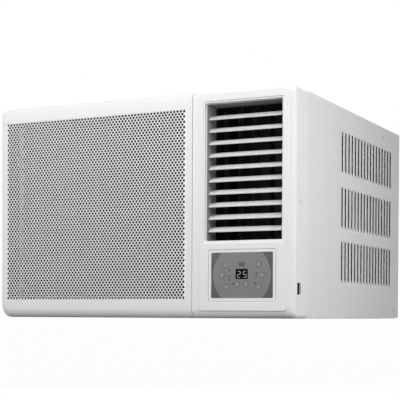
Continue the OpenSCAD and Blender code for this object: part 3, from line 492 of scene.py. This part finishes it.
def choose(piece, kind, test):
    """In edit mode, selects edges by test(middle, direction) or faces by test(middle, normal)."""
    pick(piece)
    bpy.ops.object.mode_set(mode="EDIT")
    bpy.ops.mesh.select_mode(type=kind)
    bpy.ops.mesh.select_all(action="DESELECT")
    mesh = bmesh.from_edit_mesh(piece.data)
    if kind == "EDGE":
        for edge in mesh.edges:
            a, b = (v.co for v in edge.verts)
            if test(((a + b) / 2 - cad_low) / MM, (b - a).normalized()):
                edge.select_set(True)
    else:
        for face in mesh.faces:
            if test((face.calc_center_median() - cad_low) / MM, face.normal):
                face.select_set(True)
    bmesh.update_edit_mesh(piece.data)


def join(main, *others):
    """Joins others into main."""
    pick(main)
    for other in others:
        other.select_set(True)
    bpy.ops.object.join()
    return main


def cut(piece, *tools):
    """Takes the tools away from piece with exact booleans, and removes them."""
    for tool in tools:
        pick(piece)
        cutting = piece.modifiers.new("cut", "BOOLEAN")
        cutting.object = tool
        cutting.solver = "EXACT"
        bpy.ops.object.modifier_apply(modifier=cutting.name)
        bpy.data.objects.remove(tool)


def soften(piece, width, segments=2, angle=35):
    """Rounds the sharp edges of piece by a width in mm."""
    pick(piece)
    rounding = piece.modifiers.new("round", "BEVEL")
    rounding.width = width * MM
    rounding.segments = segments
    rounding.limit_method = "ANGLE"
    rounding.angle_limit = math.radians(angle)
    rounding.use_clamp_overlap = True
    bpy.ops.object.modifier_apply(modifier=rounding.name)


def round_corners(piece, radius, segments):
    """Rounds the four edges of a block that run from front to back, by a radius in mm."""
    choose(piece, "EDGE", lambda place, way: abs(way.y) > 0.9)
    bpy.ops.mesh.bevel(offset=radius * MM, segments=segments)
    bpy.ops.object.mode_set(mode="OBJECT")


def smooth(piece, angle=35):
    """Smooth shading with true flats: sharp edges past the angle, normals weighted by area."""
    pick(piece)
    bpy.ops.object.shade_smooth_by_angle(angle=math.radians(angle))
    weighting = piece.modifiers.new("weigh", "WEIGHTED_NORMAL")
    weighting.keep_sharp = True
    bpy.ops.object.modifier_apply(modifier=weighting.name)


def finish_piece(piece, material, body, slot, *nodes):
    """Gives piece its material and body, and lets it stand for construction nodes; slot is not used."""
    piece.data.materials.clear()
    piece.data.materials.append(material)
    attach(piece, body)
    if nodes:
        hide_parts(*nodes)
    print(f"{piece.name}: {len(piece.data.polygons)} faces")


BODY_OF = {node: body for body, nodes in frame["record"]["behaviour"]["bodies"].items()
           for node in nodes}
SLOT_OF = {part["node"]: part["material_slot"] for part in frame["record"]["subparts"]}
print("helpers ready for", len(BODY_OF), "nodes")

# %% [markdown]
# ## Finishing the construction's own shapes
#
# Where a construction node already has the right shape, it is kept. The mechanical model
# stores it as loose triangles with hard edges, so a visible shell is copied, its doubled
# points are merged, and its shading is smoothed up to the sharp edges.
# Hidden pieces keep their own mesh and only take a material.

# %% Smoothed copies of visible shells
def dressed_copy(node, material, name):
    """A merged and smoothly shaded copy of a node, standing for it."""
    source = frame["nodes"][node]
    piece = bpy.data.objects.new(name, source.data.copy())
    scene.collection.objects.link(piece)
    piece.data.materials.clear()
    pick(piece)
    bpy.ops.object.mode_set(mode="EDIT")
    bpy.ops.mesh.select_all(action="SELECT")
    bpy.ops.mesh.remove_doubles(threshold=0.000002)
    bpy.ops.object.mode_set(mode="OBJECT")
    smooth(piece)
    finish_piece(piece, material, BODY_OF[node], SLOT_OF[node], node)
    return piece


DRESSED = [
    ("front_frame", satin_white_abs, "front_moulding"),
    ("intake_door", satin_white_abs, "intake_door_shell"),
    # The throat's mid grey is painted shade on white plastic
    ("outlet_frame", throat_painted_shade_abs, "outlet_throat"),
    ("cabinet", cabinet_coat, "steel_cabinet"),
    ("base_pan", galvanised_steel, "galvanised_base_pan"),
    ("rear_guard", guard_coat, "wire_rear_guard"),
    ("screws", zinc_screw, "fixing_screws"),
    ("cord_gland", black_rubber, "rubber_cord_gland"),
    ("filter_frame", filter_polypropylene, "filter_rim"),
    ("drain_tray", bead_foam, "foam_drain_tray"),
    # Coil tubes: black as painted shade of the unit's inside
    ("evaporator_tubes", coil_black_painted_shade, "evaporator_hairpins"),
    ("condenser_tubes", coil_black_painted_shade, "condenser_hairpins"),
    ("condenser_fan", filled_polypropylene, "axial_fan"),
    ("blower_wheel", filled_polypropylene, "centrifugal_wheel"),
]
dressed = {name: dressed_copy(node, material, name) for node, material, name in DRESSED}


def second_material(piece, material, test):
    """Gives a second material to the faces whose middle, in mm, passes the test."""
    piece.data.materials.append(material)
    for face in piece.data.polygons:
        if test((face.center - cad_low) / MM):
            face.material_index = 1


# Behind the intake the moulding's inner faces are drawn black as painted shade, so that nothing pale shows through
# the holes
INTAKE_W, DOOR_BACK_Y, INNER_TOP_Z = 449, 24.4, 429.8
moulding = dressed["front_moulding"]
second_material(moulding, black_abs, lambda spot: 2 < spot.x < INTAKE_W and spot.y > DOOR_BACK_Y
                and 2 < spot.z < INNER_TOP_Z)
# The screw that holds the front, in its deep seat on the right side, is drawn dark as painted shade of that recess
SCREW_Z = 215
second_material(dressed["fixing_screws"], screw_painted_recess_shade, lambda spot: spot.x > unit_w - 12
                and abs(spot.z - SCREW_Z) < 6 and spot.y < 40)

# %% Materials of the nodes that stay as they are
KEPT = {
    "scroll_casing": black_abs, "bulkhead": galvanised_steel,
    "fan_motor": motor_enamel, "fan_shaft": ground_steel, "condenser_shroud": black_abs,
    # Coil end plates and pipes take the coils' black painted shade
    "coil_end_plates": coil_black_painted_shade, "compressor": compressor_enamel,
    "compressor_grommets": black_rubber, "accumulator": compressor_enamel,
    "refrigerant_pipes": coil_black_painted_shade, "electrical_box": galvanised_steel,
    "inverter_board": solder_mask, "control_plate": control_film, "display_board": solder_mask,
    "swing_motor": cream_casing, "louvre_link": dark_grey_abs, "vane_link": black_abs,
}
for node, material in KEPT.items():
    mesh = frame["nodes"][node].data
    mesh.materials.clear()
    mesh.materials.append(material)
print("nodes with their own mesh:", len(KEPT))

# %% [markdown]
# ## The perforated sheet
#
# The intake door's grille is one steel sheet with about four thousand holes of 5.4 mm,
# each row set half a pitch aside from the next. Cutting four thousand booleans would take
# for ever, so one cell is modelled: a rectangle with an eight-sided hole, its long edges
# split in the middle so that shifted rows share their points. An array repeats it along
# two rows and another array repeats the pair, and the rim is extruded into a folded lip.

# %% Cell and rows
HOLE_R = 2.7
HOLE_PITCH = 7.2
ROW_PITCH = 5.12
HOLES, ROWS = 58, 71
LIP = 4.0          # folded lip behind the door's window
SHEET_T = 0.6
sheet_low, sheet_high = span("perforated_sheet")
field_x0, field_x1 = sheet_low.x + LIP, sheet_high.x - LIP
field_z0, field_z1 = sheet_low.z + LIP, sheet_high.z - 2.6
face_y = sheet_low.y
holes_x0 = (field_x0 + field_x1 - HOLES * HOLE_PITCH) / 2
holes_z0 = (field_z0 + field_z1 - ROWS * ROW_PITCH) / 2


def hole_cell(name, x, z):
    """A flat cell with one hole in its middle, from its lower left corner."""
    drop_selection()
    middle = at(x + HOLE_PITCH / 2, face_y, z + ROW_PITCH / 2)
    bpy.ops.mesh.primitive_plane_add(size=1, location=middle, rotation=(math.pi / 2, 0, 0))
    cell = bpy.context.object
    cell.name = name
    cell.scale = (HOLE_PITCH * MM, ROW_PITCH * MM, 1)
    bpy.ops.object.transform_apply(location=True, rotation=True, scale=True)
    choose(cell, "EDGE", lambda place, way: abs(way.x) > 0.9)
    bpy.ops.mesh.subdivide(number_cuts=1)
    bpy.ops.mesh.select_all(action="SELECT")
    bpy.ops.mesh.delete(type="ONLY_FACE")
    choose(cell, "EDGE", lambda place, way: abs(place.x - x - HOLE_PITCH / 2) < 0.1 and abs(way.z) > 0.9)
    bpy.ops.mesh.delete(type="EDGE")
    bpy.ops.mesh.primitive_circle_add(vertices=8, radius=HOLE_R * MM, location=middle,
                                      rotation=(math.pi / 2, math.pi / 8, 0))
    bpy.ops.mesh.select_all(action="SELECT")
    bpy.ops.mesh.bridge_edge_loops()
    bpy.ops.object.mode_set(mode="OBJECT")
    return cell


def repeat(piece, count, step):
    """Repeats piece in an array with a step in mm, and merges what touches."""
    pick(piece)
    row = piece.modifiers.new("row", "ARRAY")
    row.count = count
    row.use_relative_offset = False
    row.use_constant_offset = True
    row.constant_offset_displace = Vector(step) * MM
    row.use_merge_vertices = True
    row.merge_threshold = 0.05 * MM
    bpy.ops.object.modifier_apply(modifier=row.name)


def stretch_edge(piece, test, step):
    """Extrudes the edges that pass the test by a step in mm."""
    choose(piece, "EDGE", test)
    bpy.ops.mesh.extrude_region_move(TRANSFORM_OT_translate={"value": Vector(step) * MM})
    bpy.ops.object.mode_set(mode="OBJECT")


rows = []
for shift, count in ((0, HOLES), (0.5, HOLES - 1)):
    x0 = holes_x0 + shift * HOLE_PITCH
    x1 = x0 + count * HOLE_PITCH
    row = hole_cell("perforated_row", x0, holes_z0 + (ROW_PITCH if shift else 0))
    repeat(row, count, (HOLE_PITCH, 0, 0))
    if shift:
        half = HOLE_PITCH / 2
        stretch_edge(row, lambda place, way: abs(place.x - x0) < 0.01, (-half, 0, 0))
        stretch_edge(row, lambda place, way: abs(place.x - x1) < 0.01, (half, 0, 0))
        x0, x1 = x0 - half, x1 + half
    stretch_edge(row, lambda place, way: abs(place.x - x0) < 0.01, (field_x0 - x0, 0, 0))
    stretch_edge(row, lambda place, way: abs(place.x - x1) < 0.01, (field_x1 - x1, 0, 0))
    rows.append(row)
print("holes in the two rows:", HOLES, "and", HOLES - 1)

# %% Field, lip and thickness
perforated = join(rows[0], rows[1])
perforated.name = "perforated_steel_sheet"
repeat(perforated, (ROWS + 1) // 2, (0, 0, 2 * ROW_PITCH))
top_z = holes_z0 + ROWS * ROW_PITCH
choose(perforated, "FACE", lambda place, normal: place.z > top_z)
bpy.ops.mesh.delete(type="FACE")
bpy.ops.mesh.select_all(action="SELECT")
bpy.ops.mesh.remove_doubles(threshold=0.02 * MM)
bpy.ops.object.mode_set(mode="OBJECT")
stretch_edge(perforated, lambda place, way: abs(place.z - holes_z0) < 0.01 and abs(way.x) > 0.9,
             (0, 0, field_z0 - holes_z0))
stretch_edge(perforated, lambda place, way: abs(place.z - top_z) < 0.01 and abs(way.x) > 0.9,
             (0, 0, field_z1 - top_z))


def on_rim(place, way):
    """True for the edges of the sheet's outer rectangle."""
    return (min(abs(place.x - field_x0), abs(place.x - field_x1)) < 0.01 and abs(way.z) > 0.9
            or min(abs(place.z - field_z0), abs(place.z - field_z1)) < 0.01 and abs(way.x) > 0.9)


choose(perforated, "EDGE", on_rim)
bpy.ops.mesh.extrude_region_move(TRANSFORM_OT_translate={"value": Vector((0, 1.1, 0)) * MM})
bpy.ops.mesh.extrude_region_move(TRANSFORM_OT_translate={"value": (0, 0, 0)})
field_w, field_h = field_x1 - field_x0, field_z1 - field_z0
bpy.ops.transform.resize(value=(1 + 2 * (LIP - 0.4) / field_w, 1, 1 + 4.4 / field_h),
                         center_override=at((field_x0 + field_x1) / 2, 0, (field_z0 + field_z1) / 2))
bpy.ops.mesh.select_all(action="SELECT")
bpy.ops.mesh.normals_make_consistent(inside=False)
bpy.ops.object.mode_set(mode="OBJECT")
if perforated.data.polygons[0].normal.y > 0:
    perforated.data.flip_normals()
gauge = perforated.modifiers.new("gauge", "SOLIDIFY")
gauge.thickness = SHEET_T * MM
gauge.offset = -1
pick(perforated)
bpy.ops.object.modifier_apply(modifier=gauge.name)
finish_piece(perforated, perforated_coat, "intake_door", "perforated_steel", "perforated_sheet")

# %% [markdown]
# ## The bezel round outlet and controls
#
# The bezel is a thin moulding that stands a little proud of the front. Its outlet mouth
# slopes in over 8 mm, which is the soft grey line that frames the dark duct.
# It is modelled as a skin: three loops of edges for its rim and its two openings, each
# extruded and scaled step by step along a quarter circle, the face between them filled,
# and the skin thickened at the end, as a moulder thinks of it.

# %% Loops and roundings
def loop(name, low, high, radius):
    """A rounded rectangle of edges between two (x, z) corners in mm, in the front plane."""
    drop_selection()
    middle = at((low[0] + high[0]) / 2, 0, (low[1] + high[1]) / 2)
    bpy.ops.mesh.primitive_plane_add(size=1, location=middle, rotation=(math.pi / 2, 0, 0))
    piece = bpy.context.object
    piece.name = name
    piece.scale = ((high[0] - low[0]) * MM, (high[1] - low[1]) * MM, 1)
    bpy.ops.object.transform_apply(location=True, rotation=True, scale=True)
    bpy.ops.object.mode_set(mode="EDIT")
    bpy.ops.mesh.select_all(action="SELECT")
    bpy.ops.mesh.bevel(offset=radius * MM, segments=5, affect="VERTICES")
    bpy.ops.mesh.select_all(action="SELECT")
    bpy.ops.mesh.delete(type="ONLY_FACE")
    bpy.ops.mesh.select_all(action="SELECT")
    return piece


def sweep_loop(low, high, steps):
    """Extrudes the selected loop through steps of (outward growth, depth), in mm."""
    middle = at((low[0] + high[0]) / 2, 0, (low[1] + high[1]) / 2)
    wide, tall = high[0] - low[0], high[1] - low[1]
    grown, depth = 0.0, 0.0
    for grow, y in steps:
        bpy.ops.mesh.extrude_region_move(TRANSFORM_OT_translate={"value": (0, (y - depth) * MM, 0)})
        bpy.ops.transform.resize(value=((wide + 2 * grow) / (wide + 2 * grown), 1,
                                        (tall + 2 * grow) / (tall + 2 * grown)),
                                 center_override=middle)
        grown, depth = grow, y
    bpy.ops.object.mode_set(mode="OBJECT")


def quarter(radius, outward, count=6):
    """Steps of a quarter round that starts flat in the face and ends square to it."""
    return [(outward * radius * math.sin(math.radians(90 * k / count)),
             radius * (1 - math.cos(math.radians(90 * k / count)))) for k in range(1, count + 1)]


bezel_low, bezel_high = span("outlet_bezel")
throat_low, throat_high = span("outlet_frame")
FLANGE = 7.0       # rim of the outlet frame round the duct
MOUTH_W, RIM_R, RECESS_R = 5.5, 0.9, 0.7
MOUTH_STEPS = [(-0.3, 0.1), (-0.7, 0.45), (-4.9, 7.0), (-5.3, 7.5), (-MOUTH_W, 8.0)]
throat_x0, throat_x1 = throat_low.x + FLANGE, throat_high.x - FLANGE
throat_z0, throat_z1 = throat_low.z + FLANGE, throat_high.z - FLANGE
recess_low, recess_high = (plate_x - 70, 31.0), (plate_x + 70, 130.0)

SKIN_T = 1.4
LOOPS = [
    # name, low corner, high corner, corner radius, steps of the sweep
    ("outlet_surround", (bezel_low.x + RIM_R, bezel_low.z + RIM_R),
     (bezel_high.x - RIM_R, bezel_high.z - RIM_R), 5.2, quarter(RIM_R, 1) + [(RIM_R, 1.5)]),
    ("mouth", (throat_x0 - MOUTH_W, throat_z0 - MOUTH_W),
     (throat_x1 + MOUTH_W, throat_z1 + MOUTH_W), 2.4, MOUTH_STEPS),
    ("recess", (recess_low[0] - RECESS_R, recess_low[1] - RECESS_R),
     (recess_high[0] + RECESS_R, recess_high[1] + RECESS_R), 3.0,
     quarter(RECESS_R, -1, 4) + [(-RECESS_R, 1.5)]),
]
loops = []
for name, low, high, radius, steps in LOOPS:
    loops.append(loop(name, low, high, radius))
    sweep_loop(low, high, steps)
print("loops swept:", len(loops))

# %% Face and thickness of the bezel
surround = join(*loops)
choose(surround, "EDGE", lambda place, way: abs(place.y) < 0.001 and abs(way.y) < 0.01)
bpy.ops.mesh.fill()
bpy.ops.mesh.select_all(action="SELECT")
bpy.ops.mesh.normals_make_consistent(inside=False)
bpy.ops.object.mode_set(mode="OBJECT")
flat_face = next(f for f in surround.data.polygons if abs(f.normal.y) > 0.999)
if flat_face.normal.y > 0:
    surround.data.flip_normals()
skin = surround.modifiers.new("skin", "SOLIDIFY")
skin.thickness = SKIN_T * MM
skin.offset = -1
pick(surround)
bpy.ops.object.modifier_apply(modifier=skin.name)
smooth(surround, 40)
finish_piece(surround, satin_white_abs, "housing", "white_abs", "outlet_bezel")

# %% [markdown]
# ## Louvre blades
#
# Ten identical blades turn together and set the air up or down. Each is a thin wing: a
# blunt, bright front edge 2.6 mm thick that tapers to the back, a small disc at each end
# that keeps it centred, and two stub pins. One blade is modelled level at the origin, tilted
# to its rest angle, and copied to every pivot.

# %% One blade, ten places
TILT = math.radians(26)
CHORD, BLADE_T, TAIL_T = 22.0, 2.6, 1.5
LEFT_PIN, RIGHT_PIN, LINK_ARM = 4.6, 5.6, 8
END_DISC_R, END_DISC_T = 3.0, 1.2
first_low, first_high = span("louvre_1")
pin_x0, pin_x1 = first_low.x, first_high.x
blade_x0, blade_x1 = pin_x0 + LEFT_PIN, pin_x1 - RIGHT_PIN
pivots = []
for joint in frame["joints"]:
    if joint["name"].startswith("louvre_") and joint["name"].endswith("_tilt"):
        pivots.append((Vector(joint["pos_m"]) - cad_low) / MM)

blade = block("blade", (blade_x0, -CHORD / 2, -BLADE_T / 2), (blade_x1, CHORD / 2, BLADE_T / 2))
choose(blade, "FACE", lambda place, normal: normal.y > 0.9)
bpy.ops.transform.resize(value=(1, 1, TAIL_T / BLADE_T), center_override=at(0, 0, 0))
bpy.ops.object.mode_set(mode="OBJECT")
soften(blade, 0.55, segments=3)
ends = [rod("end_disc", (x, 0, 0), "X", END_DISC_R, END_DISC_T, 24)
        for x in (blade_x0, blade_x1 - END_DISC_T)]
crank = rod("link_pin", (blade_x1 - 1.0, LINK_ARM, 0), "X", 0.95, 3.4, 12)
pins = rod("pins", (pin_x0, 0, 0), "X", 1.5, pin_x1 - pin_x0, 16)
blade = join(blade, *ends, crank, pins)
corner = Vector(at(0, 0, 0))
blade.data.transform(Matrix.Translation(-corner))
blade.data.transform(Matrix.Rotation(TILT, 4, "X"))
blade.data.transform(Matrix.Translation(corner))
smooth(blade, 40)
for number, pivot in enumerate(pivots, start=1):
    copy = blade.copy()
    copy.data = blade.data.copy()
    copy.name = f"louvre_blade_{number}"
    scene.collection.objects.link(copy)
    copy.data.transform(Matrix.Translation(Vector((0, pivot.y, pivot.z)) * MM))
    finish_piece(copy, polished_white_abs, f"louvre_{number}", "louvre_abs", f"louvre_{number}")
bpy.data.objects.remove(blade)

# %% [markdown]
# ## Upright vanes
#
# Behind the blades stand five darker vanes that steer the air left and right. They are
# tapered plates on a round spindle, with a collar under each and a short crank pin that
# the link bar below drives.

# %% Five vanes
VANE_CHORD, VANE_T, VANE_TAIL = 28.0, 2.0, 1.0
for number in range(1, 6):
    low, high = span(f"vane_{number}")
    joint = next(j for j in frame["joints"] if j["name"] == f"vane_{number}_swing")
    place = (Vector(joint["pos_m"]) - cad_low) / MM
    z0, z1 = throat_z0 + 8.4, throat_z1 - 6
    vane = block(f"swing_vane_{number}", (place.x - VANE_T / 2, place.y - VANE_CHORD / 2, z0),
                 (place.x + VANE_T / 2, place.y + VANE_CHORD / 2, z1))
    choose(vane, "FACE", lambda spot, normal: abs(normal.y) > 0.9)
    bpy.ops.transform.resize(value=(VANE_TAIL / VANE_T, 1, 1), center_override=at(place.x, 0, 0))
    bpy.ops.object.mode_set(mode="OBJECT")
    soften(vane, 0.3)
    spindle = rod("spindle", (place.x, place.y, low.z), "Z", 1.5, high.z - low.z, 16)
    collar = rod("collar", (place.x, place.y, z0 - 2), "Z", 2.4, 3, 20)
    crank = rod("crank", (place.x, place.y + 10, z0 - 6.8), "Z", 0.95, 7, 12)
    vane = join(vane, spindle, collar, crank)
    smooth(vane, 40)
    finish_piece(vane, black_abs, f"vane_{number}", "black_abs", f"vane_{number}")

# %% [markdown]
# ## The control panel
#
# A ring of white plastic holds the grey film. Eight round buttons stand up through it by
# a few tenths of a millimetre, with a soft dome, and seven small dark lenses show the
# settings. The display is a black acrylic window with two lit digits, set in seven
# segments as on any such display.

# %% Ring round the film
RING_GAP = 1.0
ring = block("control_ring", (recess_low[0] + RING_GAP, 0.35, recess_low[1] + RING_GAP),
             (recess_high[0] - RING_GAP, 1.5, recess_high[1] - RING_GAP))
round_corners(ring, 4, 5)
hole = block("film_window", (plate_low.x - 0.2, -1, plate_low.z - 0.2),
             (plate_high.x + 0.2, 3, plate_high.z + 0.2))
round_corners(hole, 0.9, 3)
cut(ring, hole)
soften(ring, 0.3, angle=50)
smooth(ring, 40)
finish_piece(ring, satin_white_abs, "housing", "white_abs")

# %% Buttons
CAP_R = 4.2
centres = []
for number in range(1, 9):
    low, high = span(f"button_{number}")
    x, z = (low.x + high.x) / 2, (low.z + high.z) / 2
    centres.append((x, z))
    cap = rod(f"push_button_{number}", (x, 0.1, z), "Y", CAP_R, 4.6, 40)
    choose(cap, "FACE", lambda place, normal: normal.y < -0.9)
    bpy.ops.mesh.inset(thickness=1.3 * MM, depth=0)
    bpy.ops.mesh.inset(thickness=1.2 * MM, depth=0)
    bpy.ops.transform.translate(value=(0, 0.12 * MM, 0))
    bpy.ops.object.mode_set(mode="OBJECT")
    choose(cap, "EDGE", lambda place, way: place.y < 0.12
           and Vector((place.x - x, 0, place.z - z)).length > CAP_R - 0.2)
    bpy.ops.mesh.bevel(offset=0.28 * MM, segments=3)
    bpy.ops.object.mode_set(mode="OBJECT")
    flange = rod("flange", (x, 4.7, z), "Y", 5.4, 1.2, 32)
    stem = rod("stem", (x, 5.8, z), "Y", 1.5, 5.8, 16)
    cap = join(cap, flange, stem)
    smooth(cap, 40)
    finish_piece(cap, button_abs, f"button_{number}", "button_grey", f"button_{number}")

# %% Dark rings round the buttons: painted shade of the gap round each
# Each is drawn as a very flat torus that lies on the film
GAP_SHADE_R, GAP_SHADE_W, FLATNESS = 5.9, 0.45, 0.12
rings = []
for x, z in centres:
    drop_selection()
    bpy.ops.mesh.primitive_torus_add(major_radius=GAP_SHADE_R * MM, minor_radius=GAP_SHADE_W * MM,
                                     major_segments=40, minor_segments=6,
                                     rotation=(math.pi / 2, 0, 0), location=at(x, plate_low.y, z))
    rings.append(bpy.context.object)
    bpy.ops.object.transform_apply(location=True, rotation=True, scale=True)
rings = join(rings[0], *rings[1:])
rings.name = "button_rings"
choose(rings, "FACE", lambda place, normal: True)
bpy.ops.transform.resize(value=(1, FLATNESS, 1), center_override=at(0, plate_low.y, 0))
bpy.ops.object.mode_set(mode="OBJECT")
smooth(rings, 60)
finish_piece(rings, button_gap_painted_shade, "housing", "grey_plate")

# %% Windows and indicator lenses
display = block("display_lens", (plate_x - 12.5, 0.15, plate_z - 7.1), (plate_x + 12.5, 9, plate_z + 11.8))
soften(display, 0.3)
smooth(display)
finish_piece(display, smoked_acrylic, "housing", "display_black", "display_window")
infrared = block("infrared_window", (plate_x - 6, 0.3, plate_z + 17), (plate_x + 6, 9, plate_z + 25))
soften(infrared, 0.4)
smooth(infrared)
finish_piece(infrared, infrared_acrylic, "housing", "display_black")

LENS_R = 1.6
LENSES = [(-25.2, 9.8), (-25.2, -2.2), (-25.2, -8.2), (-18.2, -15.2), (26.8, -15.2),
          (29.8, 3.8), (29.8, -2.2)]  # from the middle of the film
lenses = []
for dx, dz in LENSES:
    lens = rod("indicator_lenses", (plate_x + dx, 0.25, plate_z + dz), "Y", LENS_R, 0.6, 20)
    soften(lens, 0.15)
    lenses.append(lens)
lenses = join(lenses[0], *lenses[1:])
smooth(lenses, 40)
finish_piece(lenses, lamp_lens, "housing", "display_black")

# %% Digits
DIGIT_W, DIGIT_H, STROKE = 5.8, 11.2, 1.0
SEGMENTS = {  # (x, z) of the two ends, as shares of the digit's width and height
    "top": ((0, 1), (1, 1)), "middle": ((0, 0.5), (1, 0.5)), "bottom": ((0, 0), (1, 0)),
    "upper_left": ((0, 0.5), (0, 1)), "upper_right": ((1, 0.5), (1, 1)),
    "lower_left": ((0, 0), (0, 0.5)), "lower_right": ((1, 0), (1, 0.5))}
LIT = {2: ("top", "upper_right", "middle", "lower_left", "bottom"),
       5: ("top", "upper_left", "middle", "lower_right", "bottom")}


def segment(x0, z0, x1, z1):
    """One pointed bar of a digit between two corners of its outline."""
    half = STROKE / 2
    if z0 == z1:
        bar = block("segment", (x0 + 0.25, 0.08, z0 - half), (x1 - 0.25, 0.3, z0 + half))
    else:
        bar = block("segment", (x0 - half, 0.08, z0 + 0.25), (x0 + half, 0.3, z1 - 0.25))
    round_corners(bar, half * 0.9, 1)
    return bar


bars = []
base = plate_z - 4.05
for value, left in ((2, plate_x - 8.4), (5, plate_x + 3.4)):
    for name in LIT[value]:
        (u0, v0), (u1, v1) = SEGMENTS[name]
        bars.append(segment(left + u0 * DIGIT_W, base + v0 * DIGIT_H,
                            left + u1 * DIGIT_W, base + v1 * DIGIT_H))
digits = join(bars[0], *bars[1:])
digits.name = "lit_digits"
finish_piece(digits, lit_segment, "housing", "display_black")

# %% [markdown]
# ## Fins and filter net
#
# A coil is a pack of aluminium fins pushed onto copper tubes. Real fins stand 1.5 to 2 mm
# apart; here they are drawn a little wider apart so that they still show as fins. The
# filter's net is drawn polypropylene thread, likewise a little coarser than real.

# %% Fin packs
def fin_pack(name, node, pitch, thick):
    """A row of thin upright plates that fills the box of a coil's fins."""
    low, high = span(node)
    count = int((high.x - low.x) / pitch)
    fin = block(name, (low.x + pitch / 2, low.y, low.z), (low.x + pitch / 2 + thick, high.y, high.z))
    repeat(fin, count, (pitch, 0, 0))
    finish_piece(fin, fin_black_painted_shade, "housing", "fin_aluminium", node)


# Both fin packs are drawn black as painted shade of the unit's inside
fin_pack("evaporator_fin_pack", "evaporator_fins", 2.6, 0.3)
fin_pack("condenser_fin_pack", "condenser_fins", 3.0, 0.3)

# %% Filter net
NET_PITCH, THREAD = 2.6, 0.45
net_low, net_high = span("filter_frame")
net_y = (net_low.y + net_high.y) / 2
net_x0, net_x1 = net_low.x + 6, net_high.x - 3
net_z0, net_z1 = net_low.z + 3, net_high.z - 3
upright = block("filter_net", (net_x0, net_y, net_z0), (net_x0 + THREAD, net_y + THREAD, net_z1))
repeat(upright, int((net_x1 - net_x0) / NET_PITCH), (NET_PITCH, 0, 0))
level = block("level_threads", (net_x0, net_y + THREAD / 2, net_z0),
              (net_x1, net_y + THREAD * 1.5, net_z0 + THREAD))
repeat(level, int((net_z1 - net_z0) / NET_PITCH), (0, 0, NET_PITCH))
net = join(upright, level)
finish_piece(net, net_polypropylene, "air_filter", "filter_net", "filter_mesh")

# %% [markdown]
# ## Seals and pocket
#
# Strips of black foam on the front frame close the gap round the door's back, so that
# all the air goes through the filter, and two more beside the condenser keep air from
# slipping past the coil. Behind the small oblong slot on the right side sits a pocket,
# into which the tool that frees the front is pushed; it is drawn black as painted shade
# inside the slot.

# %% Foam seal behind the door
FOAM_Y0, FOAM_Y1 = 20.4, 24.55
foam_strips = [block("foam_door_seal", (4.0, FOAM_Y0, 16.0), (21.8, FOAM_Y1, 403.0)),
               block("strip", (432.2, FOAM_Y0, 16.0), (443.0, FOAM_Y1, 403.0)),
               block("strip", (21.8, FOAM_Y0, 16.0), (432.2, FOAM_Y1, 27.8))]
for strip in foam_strips:
    soften(strip, 0.8)
seal = join(foam_strips[0], *foam_strips[1:])
smooth(seal)
finish_piece(seal, black_foam, "housing", "rubber")

# %% Foam seals beside the condenser
SIDE_GAP = 5.6     # from the outside to the inner face of the cabinet's wall
side_seals = []
for x0, x1 in ((600, unit_w - SIDE_GAP), (SIDE_GAP, 46)):
    strip = block("condenser_side_seals", (x0, 641, 33), (x1, 653, 421))
    choose(strip, "FACE", lambda place, normal: abs(normal.y) > 0.9)
    bpy.ops.mesh.inset(thickness=6 * MM, depth=-1.5 * MM)
    bpy.ops.object.mode_set(mode="OBJECT")
    soften(strip, 0.8)
    side_seals.append(strip)
side_seals = join(side_seals[0], *side_seals[1:])
smooth(side_seals)
finish_piece(side_seals, black_foam, "housing", "rubber")

# %% Side slot and the pocket behind it
cut(moulding, block("slot", (unit_w - 6, 14.4, 44.6), (unit_w + 1, 31.6, 66.4)))
smooth(moulding)
# The pocket's black is painted shade inside the slot
pocket = block("release_pocket", (unit_w - 13.5, 12.6, 42.8), (unit_w - 3.05, 33.4, 68.2))
choose(pocket, "FACE", lambda place, normal: normal.x > 0.9)
bpy.ops.mesh.inset(thickness=1.8 * MM, depth=0)
bpy.ops.mesh.extrude_region_move(TRANSFORM_OT_translate={"value": (-8.6 * MM, 0, 0)})
bpy.ops.object.mode_set(mode="OBJECT")
soften(pocket, 0.3)
smooth(pocket)
finish_piece(pocket, black_abs, "housing", "black_abs")
